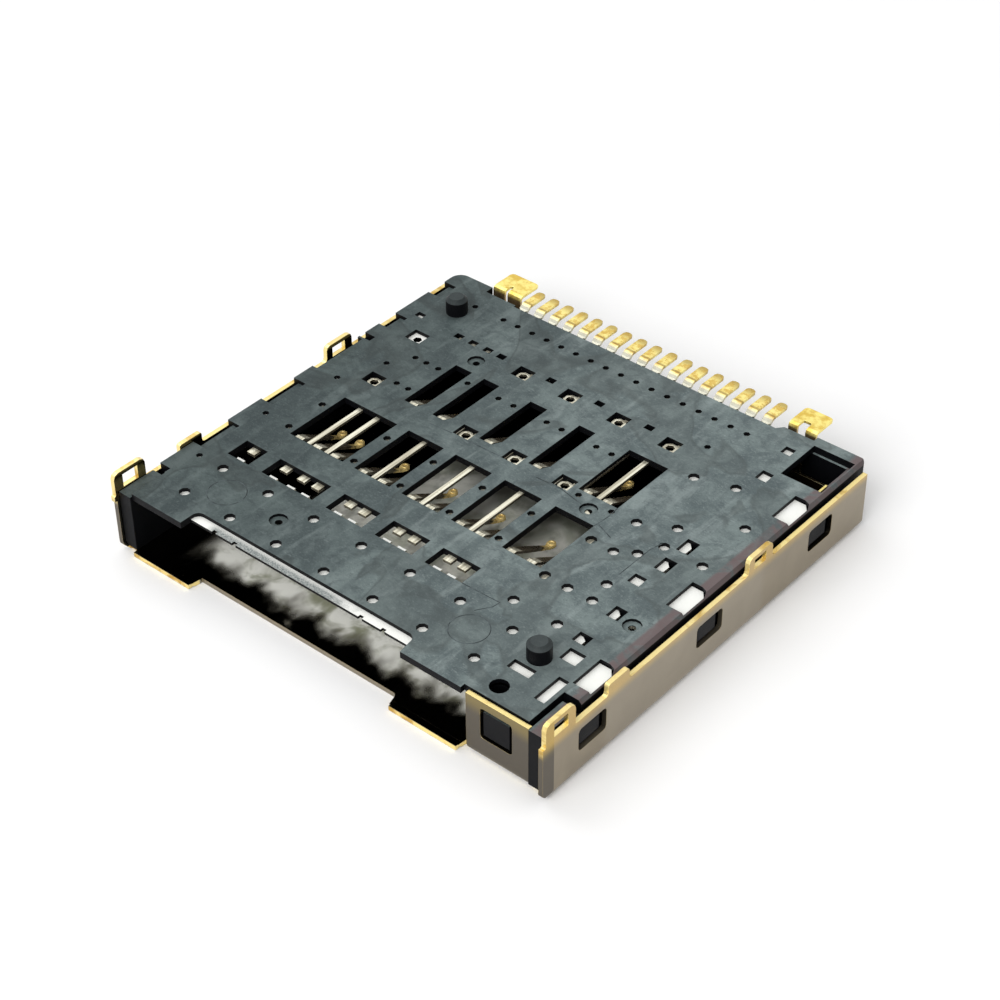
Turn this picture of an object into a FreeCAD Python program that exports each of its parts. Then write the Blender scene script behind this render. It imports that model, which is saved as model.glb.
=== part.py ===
"""Card slot with push-in, push-out ejector, for mounting under a circuit board.

The frame is in millimetres. X runs across the slot towards the ejector, Y runs from the card mouth
towards the solder tails, and Z points from the sheet metal floor up to the face that meets the board.
"""

import FreeCAD, Part
import math
import os
import Sketcher

from FreeCAD import Vector

doc = FreeCAD.newDocument("card_slot")

# Driving dimensions
SIZES = {
    "board_face": 3.70,
    "plate_thick": 0.37,
    "skin_thick": 0.22,
    "lead_gauge": 0.15,
    "lead_width": 0.28,
    "edge_lead_width": 0.20,
    "spring_root_width": 0.50,
    "spring_neck_width": 0.20,
    "spring_head_dia": 0.46,
    "nib_width": 0.50,
    "tail_pitch": 1.0,
    "tail_width": 0.55,
    "tail_end": 13.25,
    "anchor_end": 13.75,
    "anchor_slot_end": 12.71,
    "shell_gauge": 0.25,
    "shell_half_width": 13.71,
    "shell_fold": 0.5,
    "shell_rim": 3.32,
    "shell_front": 13.75,
    "shell_rear": 11.45,
    "front_tab_top": 4.60,
    "middle_tab_top": 3.93,
    "rear_tab_top": 4.22,
    "flap_face": 13.29,
    "flap_top": 3.59,
    "housing_left": 13.43,
    "housing_right": 13.29,
    "slot_row_front": -7.92,
    "slot_row_rear": -6.55,
    "front_row_front": -4.75,
    "front_row_rear": -0.72,
    "rear_row_front": 1.05,
    "rear_row_rear": 5.11,
    "peg_dia": 1.2,
    "peg_height": 1.0,
    "peg_chamfer": 0.2,
    "vent_dia": 0.6,
    "lead_hole_dia": 0.37,
    "rib_hole_dia": 0.43,
    "sink_dia": 0.95,
    "pilot_dia": 0.4,
    "eyelet_dia": 0.80,
    "eyelet_hole_dia": 0.50,
    "pin_dia": 0.40,
    "pin_bore_dia": 0.50,
    "pin_level": 0.62,
    "stroke": 3.0,
    "slider_bottom": 1.05,
    "slider_top": 3.20,
    "track_width": 0.56,
    "track_depth": 0.85,
    "coil_dia": 2.0,
    "coil_wire_dia": 0.28,
    "coil_turns": 6,
    "coil_front": -1.95,
    "coil_rear": 7.71,
}

sheet = doc.addObject("Spreadsheet::Sheet", "sizes")
for row, (alias, number) in enumerate(SIZES.items(), start=1):
    sheet.set(f"A{row}", alias)
    sheet.set(f"B{row}", str(number))
    sheet.setAlias(f"B{row}", alias)
doc.recompute()


def size(alias):
    """The value of one named cell of the sheet."""
    return float(sheet.get(alias))


# Sketches and outlines

def origin_plane(body, role):
    """One of a body's own three planes, by its role."""
    return next(plane for plane in body.Origin.OriginFeatures if plane.Role == role)


def body_sketch(body, name, role="XY_Plane", height=0.0):
    """A sketch on one of the body's own planes; height is along the plane's normal."""
    sketch = body.newObject("Sketcher::SketchObject", name)
    sketch.AttachmentSupport = (origin_plane(body, role), [""])
    sketch.MapMode = "FlatFace"
    if isinstance(height, str):
        sketch.setExpression(".AttachmentOffset.Base.z", height)
    else:
        sketch.AttachmentOffset = FreeCAD.Placement(Vector(0, 0, height), FreeCAD.Rotation())
    return sketch


def loose_sketch(name, plane, height=0.0):
    """A sketch outside a body, in plan at a height, or side-on in the Y and Z plane."""
    sketch = doc.addObject("Sketcher::SketchObject", name)
    if plane == "plan":
        sketch.Placement = FreeCAD.Placement(Vector(0, 0, height), FreeCAD.Rotation())
    else:
        upright = FreeCAD.Rotation(Vector(0, 1, 0), Vector(0, 0, 1), Vector(1, 0, 0), "ZXY")
        sketch.Placement = FreeCAD.Placement(Vector(height, 0, 0), upright)
    return sketch


def outline_edges(points):
    """A closed loop of straight edges and tangent corner arcs through (x, y) or (x, y, radius)."""
    corners = [(Vector(p[0], p[1], 0), p[2] if len(p) > 2 else 0.0) for p in points]
    starts, ends, arcs = [], [], []
    for index, (corner, radius) in enumerate(corners):
        before = (corners[index - 1][0] - corner).normalize()
        after = (corners[(index + 1) % len(corners)][0] - corner).normalize()
        if radius <= 0:
            starts.append(corner)
            ends.append(corner)
            continue
        half = before.getAngle(after) / 2
        reach = radius / math.tan(half)
        centre = corner + (before + after).normalize() * (radius / math.sin(half))
        start = corner + before * reach
        end = corner + after * reach
        starts.append(start)
        ends.append(end)
        first = math.atan2(start.y - centre.y, start.x - centre.x)
        last = math.atan2(end.y - centre.y, end.x - centre.x)
        turns_left = (corner - start).cross(end - corner).z > 0
        if not turns_left:
            first, last = last, first
        circle = Part.Circle(centre, Vector(0, 0, 1), radius)
        arcs.append(Part.ArcOfCircle(circle, first, last))
    lines = []
    for index, end in enumerate(ends):
        start = starts[(index + 1) % len(starts)]
        if (start - end).Length > 1e-6:
            lines.append(Part.LineSegment(end, start))
    return lines + arcs


def add_outline(sketch, points):
    """Draw one closed outline and hold it where its named values put it."""
    indices = sketch.addGeometry(outline_edges(points), False)
    sketch.addConstraint([Sketcher.Constraint("Block", index) for index in indices])


def eased(points, chords=2):
    """The same outline with each corner's radius drawn as a few chords, for small or hidden corners."""
    corners = [(Vector(p[0], p[1], 0), p[2] if len(p) > 2 else 0.0) for p in points]
    drawn = []
    for index, (corner, radius) in enumerate(corners):
        if radius <= 0:
            drawn.append((corner.x, corner.y))
            continue
        before = (corners[index - 1][0] - corner).normalize()
        after = (corners[(index + 1) % len(corners)][0] - corner).normalize()
        half = before.getAngle(after) / 2
        centre = corner + (before + after).normalize() * (radius / math.sin(half))
        first = corner + before * (radius / math.tan(half)) - centre
        sweep = (math.pi - 2 * half) * (1 if before.cross(after).z < 0 else -1)
        for step in range(chords + 1):
            turned = FreeCAD.Rotation(Vector(0, 0, 1), math.degrees(sweep * step / chords)).multVec(first)
            drawn.append((centre.x + turned.x, centre.y + turned.y))
    return drawn


def band(path, width):
    """The outline of a strip of constant width along a path of (x, y) or (x, y, bend radius)."""
    points = [(Vector(p[0], p[1], 0), p[2] if len(p) > 2 else 0.0) for p in path]
    left, right = [], []
    for index, (point, radius) in enumerate(points):
        ahead = points[min(index + 1, len(points) - 1)][0] - points[min(index, len(points) - 2)][0]
        behind = points[max(index, 1)][0] - points[max(index - 1, 0)][0]
        ahead.normalize()
        behind.normalize()
        normal = Vector(-ahead.y - behind.y, ahead.x + behind.x, 0).normalize()
        miter = width / 2 / max(normal.dot(Vector(-ahead.y, ahead.x, 0)), 0.2)
        turn = behind.cross(ahead).z
        inner = max(radius - width / 2, 0.0)
        outer = radius + width / 2 if radius > 0 else 0.0
        left_radius, right_radius = (inner, outer) if turn > 0 else (outer, inner)
        left.append((point.x + normal.x * miter, point.y + normal.y * miter, left_radius))
        right.append((point.x - normal.x * miter, point.y - normal.y * miter, right_radius))
    return left + right[::-1]


def box_outline(x0, x1, y0, y1, radius=0.0):
    return [(x0, y0, radius), (x1, y0, radius), (x1, y1, radius), (x0, y1, radius)]


def polygon(x, y, diameter, sides):
    """A small round form as a regular polygon with a flat towards each side."""
    radius = size(diameter) / 2
    turns = [2 * math.pi * (n + 0.5) / sides for n in range(sides)]
    return [(x + radius * math.cos(turn), y + radius * math.sin(turn)) for turn in turns]


def add_window(sketch, x0, x1, front, rear):
    """A squared rectangle whose front and rear edges take a number or a named size."""
    y0, y1 = (size(edge) if isinstance(edge, str) else edge for edge in (front, rear))
    corners = [Vector(x0, y0, 0), Vector(x1, y0, 0), Vector(x1, y1, 0), Vector(x0, y1, 0)]
    base = sketch.GeometryCount
    lines = [Part.LineSegment(corners[n], corners[(n + 1) % 4]) for n in range(4)]
    sketch.addGeometry(lines, False)
    rules = [Sketcher.Constraint("Coincident", base + n, 2, base + (n + 1) % 4, 1) for n in range(4)]
    rules += [Sketcher.Constraint("Horizontal", base), Sketcher.Constraint("Horizontal", base + 2)]
    rules += [Sketcher.Constraint("Vertical", base + 1), Sketcher.Constraint("Vertical", base + 3)]
    rules += [
        Sketcher.Constraint("DistanceX", -1, 1, base, 1, x0),
        Sketcher.Constraint("DistanceX", -1, 1, base + 1, 1, x1),
        Sketcher.Constraint("DistanceY", -1, 1, base, 1, y0),
        Sketcher.Constraint("DistanceY", -1, 1, base + 2, 1, y1),
    ]
    added = sketch.addConstraint(rules)
    for edge, index in ((front, added[-2]), (rear, added[-1])):
        if isinstance(edge, str):
            sketch.setExpression(f"Constraints[{index}]", f"sizes.{edge}")


def add_holes(sketch, centres, diameter):
    """Round holes of one named diameter."""
    base = sketch.GeometryCount
    radius = size(diameter) / 2
    circles = [Part.Circle(Vector(x, y, 0), Vector(0, 0, 1), radius) for x, y in centres]
    sketch.addGeometry(circles, False)
    rules = []
    for index, (x, y) in enumerate(centres):
        rules.append(Sketcher.Constraint("DistanceX", -1, 1, base + index, 3, x))
        rules.append(Sketcher.Constraint("DistanceY", -1, 1, base + index, 3, y))
        if index:
            rules.append(Sketcher.Constraint("Equal", base, base + index))
    rules.append(Sketcher.Constraint("Diameter", base, 2 * radius))
    added = sketch.addConstraint(rules)
    sketch.setExpression(f"Constraints[{added[-1]}]", f"sizes.{diameter}")


def pad(body, sketch, length, upward=True):
    """Add the sketch's outline to the body, over a length given as a formula of the sheet."""
    feature = body.newObject("PartDesign::Pad", f"{sketch.Name}_pad")
    feature.Profile = sketch
    feature.Reversed = not upward
    feature.setExpression("Length", length)
    doc.recompute()
    return feature


def pocket(body, sketch, depth, downward=True):
    """Cut the sketch's outline out of the body and make sure that it took material away."""
    before = body.Shape.Volume
    feature = body.newObject("PartDesign::Pocket", f"{sketch.Name}_pocket")
    feature.Profile = sketch
    feature.Reversed = not downward
    feature.setExpression("Length", depth)
    doc.recompute()
    if not 0 < body.Shape.Volume < before or not body.Shape.isValid():
        raise RuntimeError(f"{sketch.Name} does not cut cleanly")
    return feature


def chamfer(body, width, wanted):
    """Chamfer the body's edges that a test on their two ends picks out."""
    base = body.Tip
    names = []
    for index, edge in enumerate(base.Shape.Edges, start=1):
        if wanted([vertex.Point for vertex in edge.Vertexes]):
            names.append(f"Edge{index}")
    feature = body.newObject("PartDesign::Chamfer", f"{base.Name}_chamfer")
    feature.Base = (base, names)
    feature.setExpression("Size", width)
    doc.recompute()
    return feature


def new_body(name):
    body = doc.addObject("PartDesign::Body", f"{name}_body")
    body.Label = name
    return body


def near(value, target):
    return abs(value - target) < 1e-4


# Strips bent from sheet: a bent side view, trimmed by an outline in plan

def bent_strip(name, side_path, plan):
    """A strip of the lead sheet: its side view swept across, then trimmed to its plan."""
    xs = [point[0] for point in plan]
    side = loose_sketch(f"{name}_side", "side", min(xs) - 0.1)
    add_outline(side, eased(band(side_path, size("lead_gauge"))))
    swept = doc.addObject("Part::Extrusion", f"{name}_swept")
    swept.Base = side
    swept.DirMode = "Custom"
    swept.Dir = Vector(1, 0, 0)
    swept.LengthFwd = max(xs) - min(xs) + 0.2
    swept.Solid = True
    view = loose_sketch(f"{name}_plan", "plan")
    add_outline(view, plan)
    block = doc.addObject("Part::Extrusion", f"{name}_block")
    block.Base = view
    block.DirMode = "Custom"
    block.Dir = Vector(0, 0, 1)
    block.setExpression("LengthFwd", "sizes.board_face + sizes.peg_height")
    block.Solid = True
    strip = doc.addObject("Part::Common", f"{name}_strip")
    strip.Base = swept
    strip.Tool = block
    return strip


def flat_strip(name, plan, bottom="sizes.board_face - sizes.plate_thick", height="sizes.lead_gauge"):
    """A flat piece of the lead sheet in the plate, or an upright one of another height."""
    view = loose_sketch(f"{name}_plan", "plan")
    add_outline(view, plan)
    strip = doc.addObject("Part::Extrusion", f"{name}_strip")
    strip.Base = view
    strip.DirMode = "Custom"
    strip.Dir = Vector(0, 0, 1)
    strip.setExpression("LengthFwd", height)
    view.setExpression(".Placement.Base.z", bottom)
    strip.Solid = True
    return strip


def cutter(name, outlines, depth):
    """Blocks that reach from a depth below the board face to just above it."""
    view = loose_sketch(f"{name}_plan", "plan")
    for outline in outlines:
        add_outline(view, outline)
    view.setExpression(".Placement.Base.z", f"sizes.board_face - ({depth})")
    blocks = doc.addObject("Part::Extrusion", name)
    blocks.Base = view
    blocks.DirMode = "Custom"
    blocks.Dir = Vector(0, 0, 1)
    blocks.setExpression("LengthFwd", f"{depth} + 0.1")
    blocks.Solid = True
    return blocks


def fused(name, pieces):
    """One piece of metal joined from its stretches; it takes the name that its file gets."""
    joined = doc.addObject("Part::MultiFuse", f"{name}_joined")
    joined.Shapes = pieces
    joined.Refine = True
    joined.Label = name
    return joined


# Contacts: solder tail, lead in the plate's underside, cross piece, sprung beam and carrier stub.
# Each row gives the side lead, the bar or rib lead, the spring and the stub, across the slot.

LEAD_LEVEL = size("board_face") - size("plate_thick") + size("lead_gauge") / 2
FOOT_LEVEL = size("board_face") + 0.02 - size("lead_gauge") / 2
TAIL_ROOT = 11.25
FIRST_TAIL = -8.5
FAN_REAR = 8.98
FAN_FRONT = 6.18
JOG_REAR = 0.65
JOG_FRONT = -0.42
CROSS_FRONT = -5.90
CROSS_REAR = -5.45
REAR_CROSS_FRONT = 0.35
STUB_END = -6.99
FRONT_REACH = 3.55
REAR_REACH = 3.90
HEAD_LEVEL = 1.93

FRONT_ROW = {
    1: (-9.78, -10.65, -9.78, -10.75),
    2: (-9.01, -9.08, -8.55, -8.48),
    3: (-8.18, -7.88, -7.35, -7.28),
    5: (-6.15, -6.15, -5.45, -6.31),
    7: (-4.05, -4.68, -4.15, -4.11),
    8: (-3.05, -3.05, -2.21, -3.18),
    10: (-0.85, -1.51, -1.01, -0.91),
    11: (0.12, 0.15, 0.92, 0.05),
    13: (2.35, 1.65, 2.19, 2.29),
    14: (3.32, 3.25, 4.12, 3.19),
    16: (4.84, 6.55, 5.39, None),
}
REAR_ROW = {
    4: (-6.49, -7.31),
    6: (-4.61, -5.38),
    9: (-1.41, -2.25),
    12: (1.72, 0.92),
    15: (3.69, 4.12),
    17: (6.29, 5.35),
}
LATE_JOG = {16: (0.15, -0.70)}

# Eyelets left where the carrier's tie bars were punched out, each on the lead of one contact
EYELETS = {
    6: (-4.51, 6.78),
    9: (-1.35, 6.78),
    12: (1.82, 6.75),
    16: (5.08, 6.75),
    8: (-3.45, 1.01),
    11: (-0.25, 1.01),
    14: (2.96, 1.01),
    1: (-10.15, 1.45),
}


def spring_strip(name, x, root, reach):
    """A blade that slopes down into the lane, with a narrow neck and a round head for the card's pad."""
    wide = size("spring_root_width") / 2
    neck = size("spring_neck_width") / 2
    head = size("spring_head_dia") / 2
    head_start = reach - 2 * head
    side = [
        (root - 0.70, LEAD_LEVEL),
        (root + 0.38, LEAD_LEVEL),
        (root + head_start - 0.10, HEAD_LEVEL),
        (root + reach, HEAD_LEVEL),
    ]
    right = [
        (wide, -0.70),
        (wide, 0.75),
        (wide * 0.66, head_start - 0.75),
        (neck, head_start - 0.15),
        (head, head_start + head * 0.6),
        (head, reach - head * 0.6),
        (head * 0.4, reach),
    ]
    plan = [(x + across, root + along) for across, along in right]
    plan += [(x - across, root + along) for across, along in right[::-1]]
    return bent_strip(f"{name}_spring", side, plan)


def tail_strip(name, x):
    """The tail leaves the housing at lead level and steps up to a foot on the board's face."""
    end = size("tail_end")
    half = size("tail_width") / 2
    neck = size("lead_width") / 2
    side = [
        (TAIL_ROOT - 0.35, LEAD_LEVEL),
        (TAIL_ROOT + 0.27, LEAD_LEVEL),
        (TAIL_ROOT + 0.41, LEAD_LEVEL + 0.06),
        (TAIL_ROOT + 0.55, FOOT_LEVEL - 0.06),
        (TAIL_ROOT + 0.69, FOOT_LEVEL),
        (end, FOOT_LEVEL),
    ]
    plan = [
        (x - half, TAIL_ROOT + 0.34),
        (x - neck, TAIL_ROOT + 0.24),
        (x - neck, TAIL_ROOT - 0.20),
        (x + neck, TAIL_ROOT - 0.20),
        (x + neck, TAIL_ROOT + 0.24),
        (x + half, TAIL_ROOT + 0.34),
        (x + half, end - 0.20),
        (x + half - 0.06, end - 0.06),
        (x + half - 0.20, end),
        (x - half + 0.20, end),
        (x - half + 0.06, end - 0.06),
        (x - half, end - 0.20),
    ]
    return bent_strip(f"{name}_tail", side, plan)


def eyelet_ring(name, number):
    x, y = EYELETS[number]
    return flat_strip(f"{name}_eyelet", polygon(x, y, "eyelet_dia", 8))


def punched(name, joined, centre):
    """Punch the eyelet's hole through the finished contact."""
    punch = cutter(f"{name}_punch", [polygon(*centre, "eyelet_hole_dia", 6)], "sizes.plate_thick + 0.1")
    cut = doc.addObject("Part::Cut", f"{name}_punched")
    cut.Base = joined
    cut.Tool = punch
    joined.Label = f"{name}_whole"
    cut.Label = name
    return cut


def contact(number):
    name = f"contact_{number:02d}"
    tail_x = FIRST_TAIL + size("tail_pitch") * (number - 1)
    fan = [(tail_x, TAIL_ROOT - 0.1), (tail_x, FAN_REAR)]
    pieces = [tail_strip(name, tail_x)]
    if number in FRONT_ROW:
        side_x, rib_x, spring_x, stub_x = FRONT_ROW[number]
        jog_rear, jog_front = LATE_JOG.get(number, (JOG_REAR, JOG_FRONT))
        route = fan + [(side_x, FAN_FRONT), (side_x, jog_rear), (rib_x, jog_front), (rib_x, CROSS_FRONT)]
        pieces.append(flat_strip(f"{name}_lead", band(route, size("lead_width"))))
        half_nib = size("nib_width") / 2
        reach = [spring_x - half_nib, spring_x + half_nib, rib_x - size("lead_width") / 2]
        reach.append(rib_x + size("lead_width") / 2)
        if stub_x is not None:
            reach += [stub_x - half_nib, stub_x + half_nib]
            stub = box_outline(stub_x - half_nib, stub_x + half_nib, STUB_END, CROSS_REAR)
            pieces.append(flat_strip(f"{name}_stub", stub))
        cross = box_outline(min(reach), max(reach), CROSS_FRONT, CROSS_REAR)
        pieces.append(flat_strip(f"{name}_cross", cross))
        pieces.append(spring_strip(name, spring_x, size("front_row_front"), FRONT_REACH))
    else:
        side_x, spring_x = REAR_ROW[number]
        route = fan + [(side_x, FAN_FRONT), (side_x, REAR_CROSS_FRONT)]
        pieces.append(flat_strip(f"{name}_lead", band(route, size("edge_lead_width"))))
        half_lead = size("edge_lead_width") / 2
        half_root = size("spring_root_width") / 2
        reach = [side_x - half_lead, side_x + half_lead, spring_x - half_root, spring_x + half_root]
        cross = box_outline(min(reach), max(reach), REAR_CROSS_FRONT, size("rear_row_front"))
        pieces.append(flat_strip(f"{name}_cross", cross))
        pieces.append(spring_strip(name, spring_x, size("rear_row_front"), REAR_REACH))
    if number in EYELETS:
        pieces.append(eyelet_ring(name, number))
    joined = fused(name, pieces)
    if number in EYELETS:
        joined = punched(name, joined, EYELETS[number])
    return joined


contacts = [contact(number) for number in range(1, 18)]


# Solder anchors at the ends of the tail row: a slotted foot, two legs and a root in the rear wall

LEG_BACK = 12.17
ROOT_LEVEL = 2.83
foot_path = [(LEG_BACK, ROOT_LEVEL, 0.16), (LEG_BACK, FOOT_LEVEL, 0.16), (size("anchor_end"), FOOT_LEVEL)]


def anchor_plan(x0, x1, slot, left_root, right_root):
    """A foot with a slot from its root side; each leg ends at its own root."""
    end = size("anchor_end")
    slot_end = size("anchor_slot_end")
    corners = [
        (x0, left_root),
        (slot[0], left_root),
        (slot[0], slot_end, 0.09),
        (slot[1], slot_end, 0.09),
        (slot[1], right_root),
        (x1, right_root),
        (x1, end, 0.2),
        (x0, end, 0.2),
    ]
    return eased(corners)


left_anchor = bent_strip(
    "hold_down_tab_left",
    [(10.9, ROOT_LEVEL)] + foot_path,
    anchor_plan(-11.08, -9.15, (-10.27, -10.07), 11.0, 11.0),
)
left_anchor.Label = "hold_down_tab_left"

right_anchor = bent_strip(
    "detect_fixed_contact",
    [(10.99, 1.35), (10.99, ROOT_LEVEL, 0.16)] + foot_path,
    anchor_plan(8.52, 10.19, (9.05, 9.55), 11.3, 10.85),
)
right_anchor.Label = "detect_fixed_contact"


# Blade of the card detector: its anchor stands in the side wall, its free end crosses the bay

BLADE_GAUGE = 0.12
blade_path = [
    (12.785, 8.45),
    (12.785, 9.30, 0.3),
    (12.42, 9.90, 0.4),
    (12.10, 10.62, 0.4),
    (9.45, 10.62),
]
blade = flat_strip("detect_blade", eased(band(blade_path, BLADE_GAUGE)), "1.3", "0.9")
blade_anchor = flat_strip(
    "detect_anchor",
    box_outline(12.785 - BLADE_GAUGE / 2, 12.785 + BLADE_GAUGE / 2, 8.45, 9.20),
    "0.8",
    "2.72",
)
detect_spring = fused("detect_spring_contact", [blade, blade_anchor])


# Ground plate: front band, left arm and right field, with the tongues and fingers that show

MOUTH_EDGE = -12.55
ARM_LEFT = -12.55
ARM_RIGHT = -11.50
FIELD_RIGHT = 12.15
FIELD_REAR = 10.5
TONGUE_WINDOWS = {
    "b": (10.39, 11.12, -7.69, -7.02),
    "c": (10.55, 11.22, -5.42, -4.59),
    "d": (10.19, 10.89, -1.35, -0.39),
    "e": (10.19, 10.89, 0.38, 1.38),
}
EDGE_SLOTS = [(-9.89, -7.89), (-3.09, -1.02), (5.31, 7.35)]
EDGE_SLOT_X = (12.22, 13.22)
CARRIER_NOTCHES = [-7.65, -6.30, 1.90, 3.30]
PIVOT = Vector(9.89, -12.12, 0)
COUNTERBORES = [(-5.75, -10.05), (5.15, 0.11), (11.92, -5.22), (-7.11, 6.05)]
LEFT_EYELET = (-11.01, 5.78)

ground = new_body("ground_plate")
front_edge = []
for notch_x in CARRIER_NOTCHES:
    front_edge += [
        (notch_x - 0.12, MOUTH_EDGE),
        (notch_x - 0.12, MOUTH_EDGE + 0.16),
        (notch_x + 0.12, MOUTH_EDGE + 0.16),
        (notch_x + 0.12, MOUTH_EDGE),
    ]
right_edge = []
for slot_front, slot_rear in EDGE_SLOTS:
    right_edge += [
        (FIELD_RIGHT, slot_front + 0.05),
        (EDGE_SLOT_X[1] - 0.07, slot_front + 0.05),
        (EDGE_SLOT_X[1] - 0.07, slot_rear - 0.40),
        (EDGE_SLOT_X[1] - 0.35, slot_rear - 0.05),
        (FIELD_RIGHT, slot_rear - 0.05),
    ]
row_front = size("slot_row_front")
stubs = sorted((row[3] for row in FRONT_ROW.values() if row[3] is not None), reverse=True)
nib_edge = []
for stub_x in stubs:
    nib_edge += [
        (stub_x + size("nib_width") / 2, row_front),
        (stub_x + size("nib_width") / 2, row_front + 0.32),
        (stub_x - size("nib_width") / 2, row_front + 0.32),
        (stub_x - size("nib_width") / 2, row_front),
    ]
ground_outline = [(ARM_LEFT, MOUTH_EDGE)] + front_edge + [(FIELD_RIGHT, MOUTH_EDGE)] + right_edge
ground_outline += [
    (FIELD_RIGHT, 8.20),
    (10.45, 8.20),
    (10.45, FIELD_REAR),
    (7.95, FIELD_REAR),
    (7.95, FAN_REAR),
    (6.75, FAN_FRONT),
    (6.75, 0.20),
    (6.88, -0.20),
    (6.88, -6.25),
    (4.45, -6.25),
    (4.45, row_front),
]
ground_outline += nib_edge
ground_outline += [
    (ARM_RIGHT, row_front),
    (ARM_RIGHT, 2.20),
    (-10.25, 2.20),
    (-10.25, 7.40),
    (-9.75, 9.10),
    (-9.75, 10.30),
    (-10.75, 10.30),
    (-10.75, 9.40),
    (ARM_LEFT, 9.40),
]
ground_sketch = body_sketch(ground, "ground_outline", height="sizes.board_face - sizes.plate_thick")
add_outline(ground_sketch, ground_outline)
pad(ground, ground_sketch, "sizes.lead_gauge")
ground_holes = body_sketch(ground, "ground_holes", height="sizes.board_face")
for centre in (COUNTERBORES[0], COUNTERBORES[2]):
    add_outline(ground_holes, polygon(*centre, "pilot_dia", 8))
add_outline(ground_holes, polygon(*LEFT_EYELET, "eyelet_hole_dia", 6))
add_outline(ground_holes, polygon(PIVOT.x, PIVOT.y, "sink_dia", 16))
for x0, x1, y0, y1 in TONGUE_WINDOWS.values():
    crown_x = (x0 + x1) / 2 + 0.05
    middle_y = (y0 + y1) / 2
    half = (y1 - y0) / 2 - 0.02
    tongue = [
        (x1 + 0.12, y0 - 0.12),
        (x1 + 0.12, y1 + 0.12),
        (x0 - 0.05, y1 + 0.12),
        (x0 - 0.05, middle_y + half),
        (crown_x - 0.25, middle_y + half),
        (crown_x, middle_y + half * 0.45),
        (crown_x, middle_y - half * 0.45),
        (crown_x - 0.25, middle_y - half),
        (x0 - 0.05, middle_y - half),
        (x0 - 0.05, y0 - 0.12),
    ]
    add_outline(ground_holes, tongue)
pocket(ground, ground_holes, "sizes.plate_thick + 0.1")


# Housing: plate, rails, bay walls, windows, holes, pegs and lugs, moulded round the leads

MOUTH_RECESS = -12.05
RAIL_INNER = -12.65
LANE_RIGHT = 8.90
BAY_LEFT = 9.25
BAY_RIGHT = 12.70
BAY_FRONT = -9.90
BLOCK_FRONT = -12.99
COLUMN_FRONT = -13.35
POST_FRONT = -13.30
POST_LEFT = 12.52
LEFT = -size("housing_left")
RIGHT = size("housing_right")
STOP_FACE = size("coil_rear")
STOP_LEFT = 10.55
REAR_FACE = 11.25
REAR_BLOCK = 11.95

SLOT_WINDOWS = [(-11.41, -9.95), (-9.05, -5.58), (-4.68, -2.31), (-1.45, 0.89), (1.72, 4.05)]
FRONT_WINDOWS = [(-10.18, -6.55), (-5.75, -3.41), (-2.61, -0.25), (0.59, 2.95), (3.79, 6.15)]
REAR_WINDOWS = [(-7.68, -6.58), (-5.75, -4.71), (-2.61, -1.51), (0.59, 1.62)]
WIDE_REAR_WINDOW = (3.79, 6.19)
SMALL_WINDOWS = [
    (9.85, 10.49, 7.28, 8.01),
    (9.82, 10.49, -2.89, -2.22),
    (10.72, 11.62, -8.99, -8.15),
    (9.29, 10.55, -10.92, -10.32),
    (11.52, 12.09, -11.72, -9.95),
    (9.62, 10.19, 9.78, 10.35),
    (10.65, 13.05, 8.35, 11.28),
]
VENTS = [
    (-10.81, -11.42), (-7.68, -11.42), (-4.58, -11.42), (-1.45, -11.42), (1.65, -11.42),
    (4.72, -11.42), (7.82, -11.42),
    (-10.71, -8.92), (-7.58, -8.92), (-4.51, -8.92), (-1.38, -8.92), (1.72, -8.92), (4.82, -8.92),
    (7.95, -8.92),
    (6.65, -5.02), (8.02, -5.05), (9.45, -5.02), (6.65, -7.29), (9.25, -7.32), (6.69, -1.62),
    (8.02, -1.62), (8.99, -1.02), (9.25, -3.69), (9.32, 1.68), (9.65, 0.18), (7.55, 0.78),
    (11.89, 0.18), (11.82, 3.71), (7.55, 5.38), (9.65, 5.98),
]
LEAD_HOLES = [(row[0], 4.25) for number, row in FRONT_ROW.items() if number != 16]
LEAD_HOLES += [(-8.98, 1.91), (-8.18, 1.91), (4.09, 0.66), (6.12, 0.66), (-12.35, -4.29)]
LEAD_HOLES += [(-11.71, 0.31), (-10.61, 2.91), (-12.38, -8.92), (6.62, 7.78)]
RIB_HOLES = [(x, y) for x in (-10.65, -6.15, -3.05, 0.15, 3.25) for y in (-1.92, -4.35)]
TAIL_HOLE_Y = 9.91
SQUARE_HOLES = [(-9.31, 7.21), (-8.31, 7.21), (-7.28, 7.21), (-6.35, 7.21)]
SQUARE_HOLES += [(-2.98, 7.21), (0.22, 7.21), (3.42, 7.21), (-12.25, 7.41)]
EYELET_WINDOWS = list(EYELETS.values()) + [LEFT_EYELET]
PEGS = [(10.05, -9.55), (-10.95, 8.91)]
LEFT_NOTCHES = [(-8.35, -5.92), (-3.55, -1.15), (5.38, 6.71), (9.38, 10.71)]
LUG_FRONTS = [-11.19, -2.52, 6.55]

housing = new_body("housing_moulding")

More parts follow.
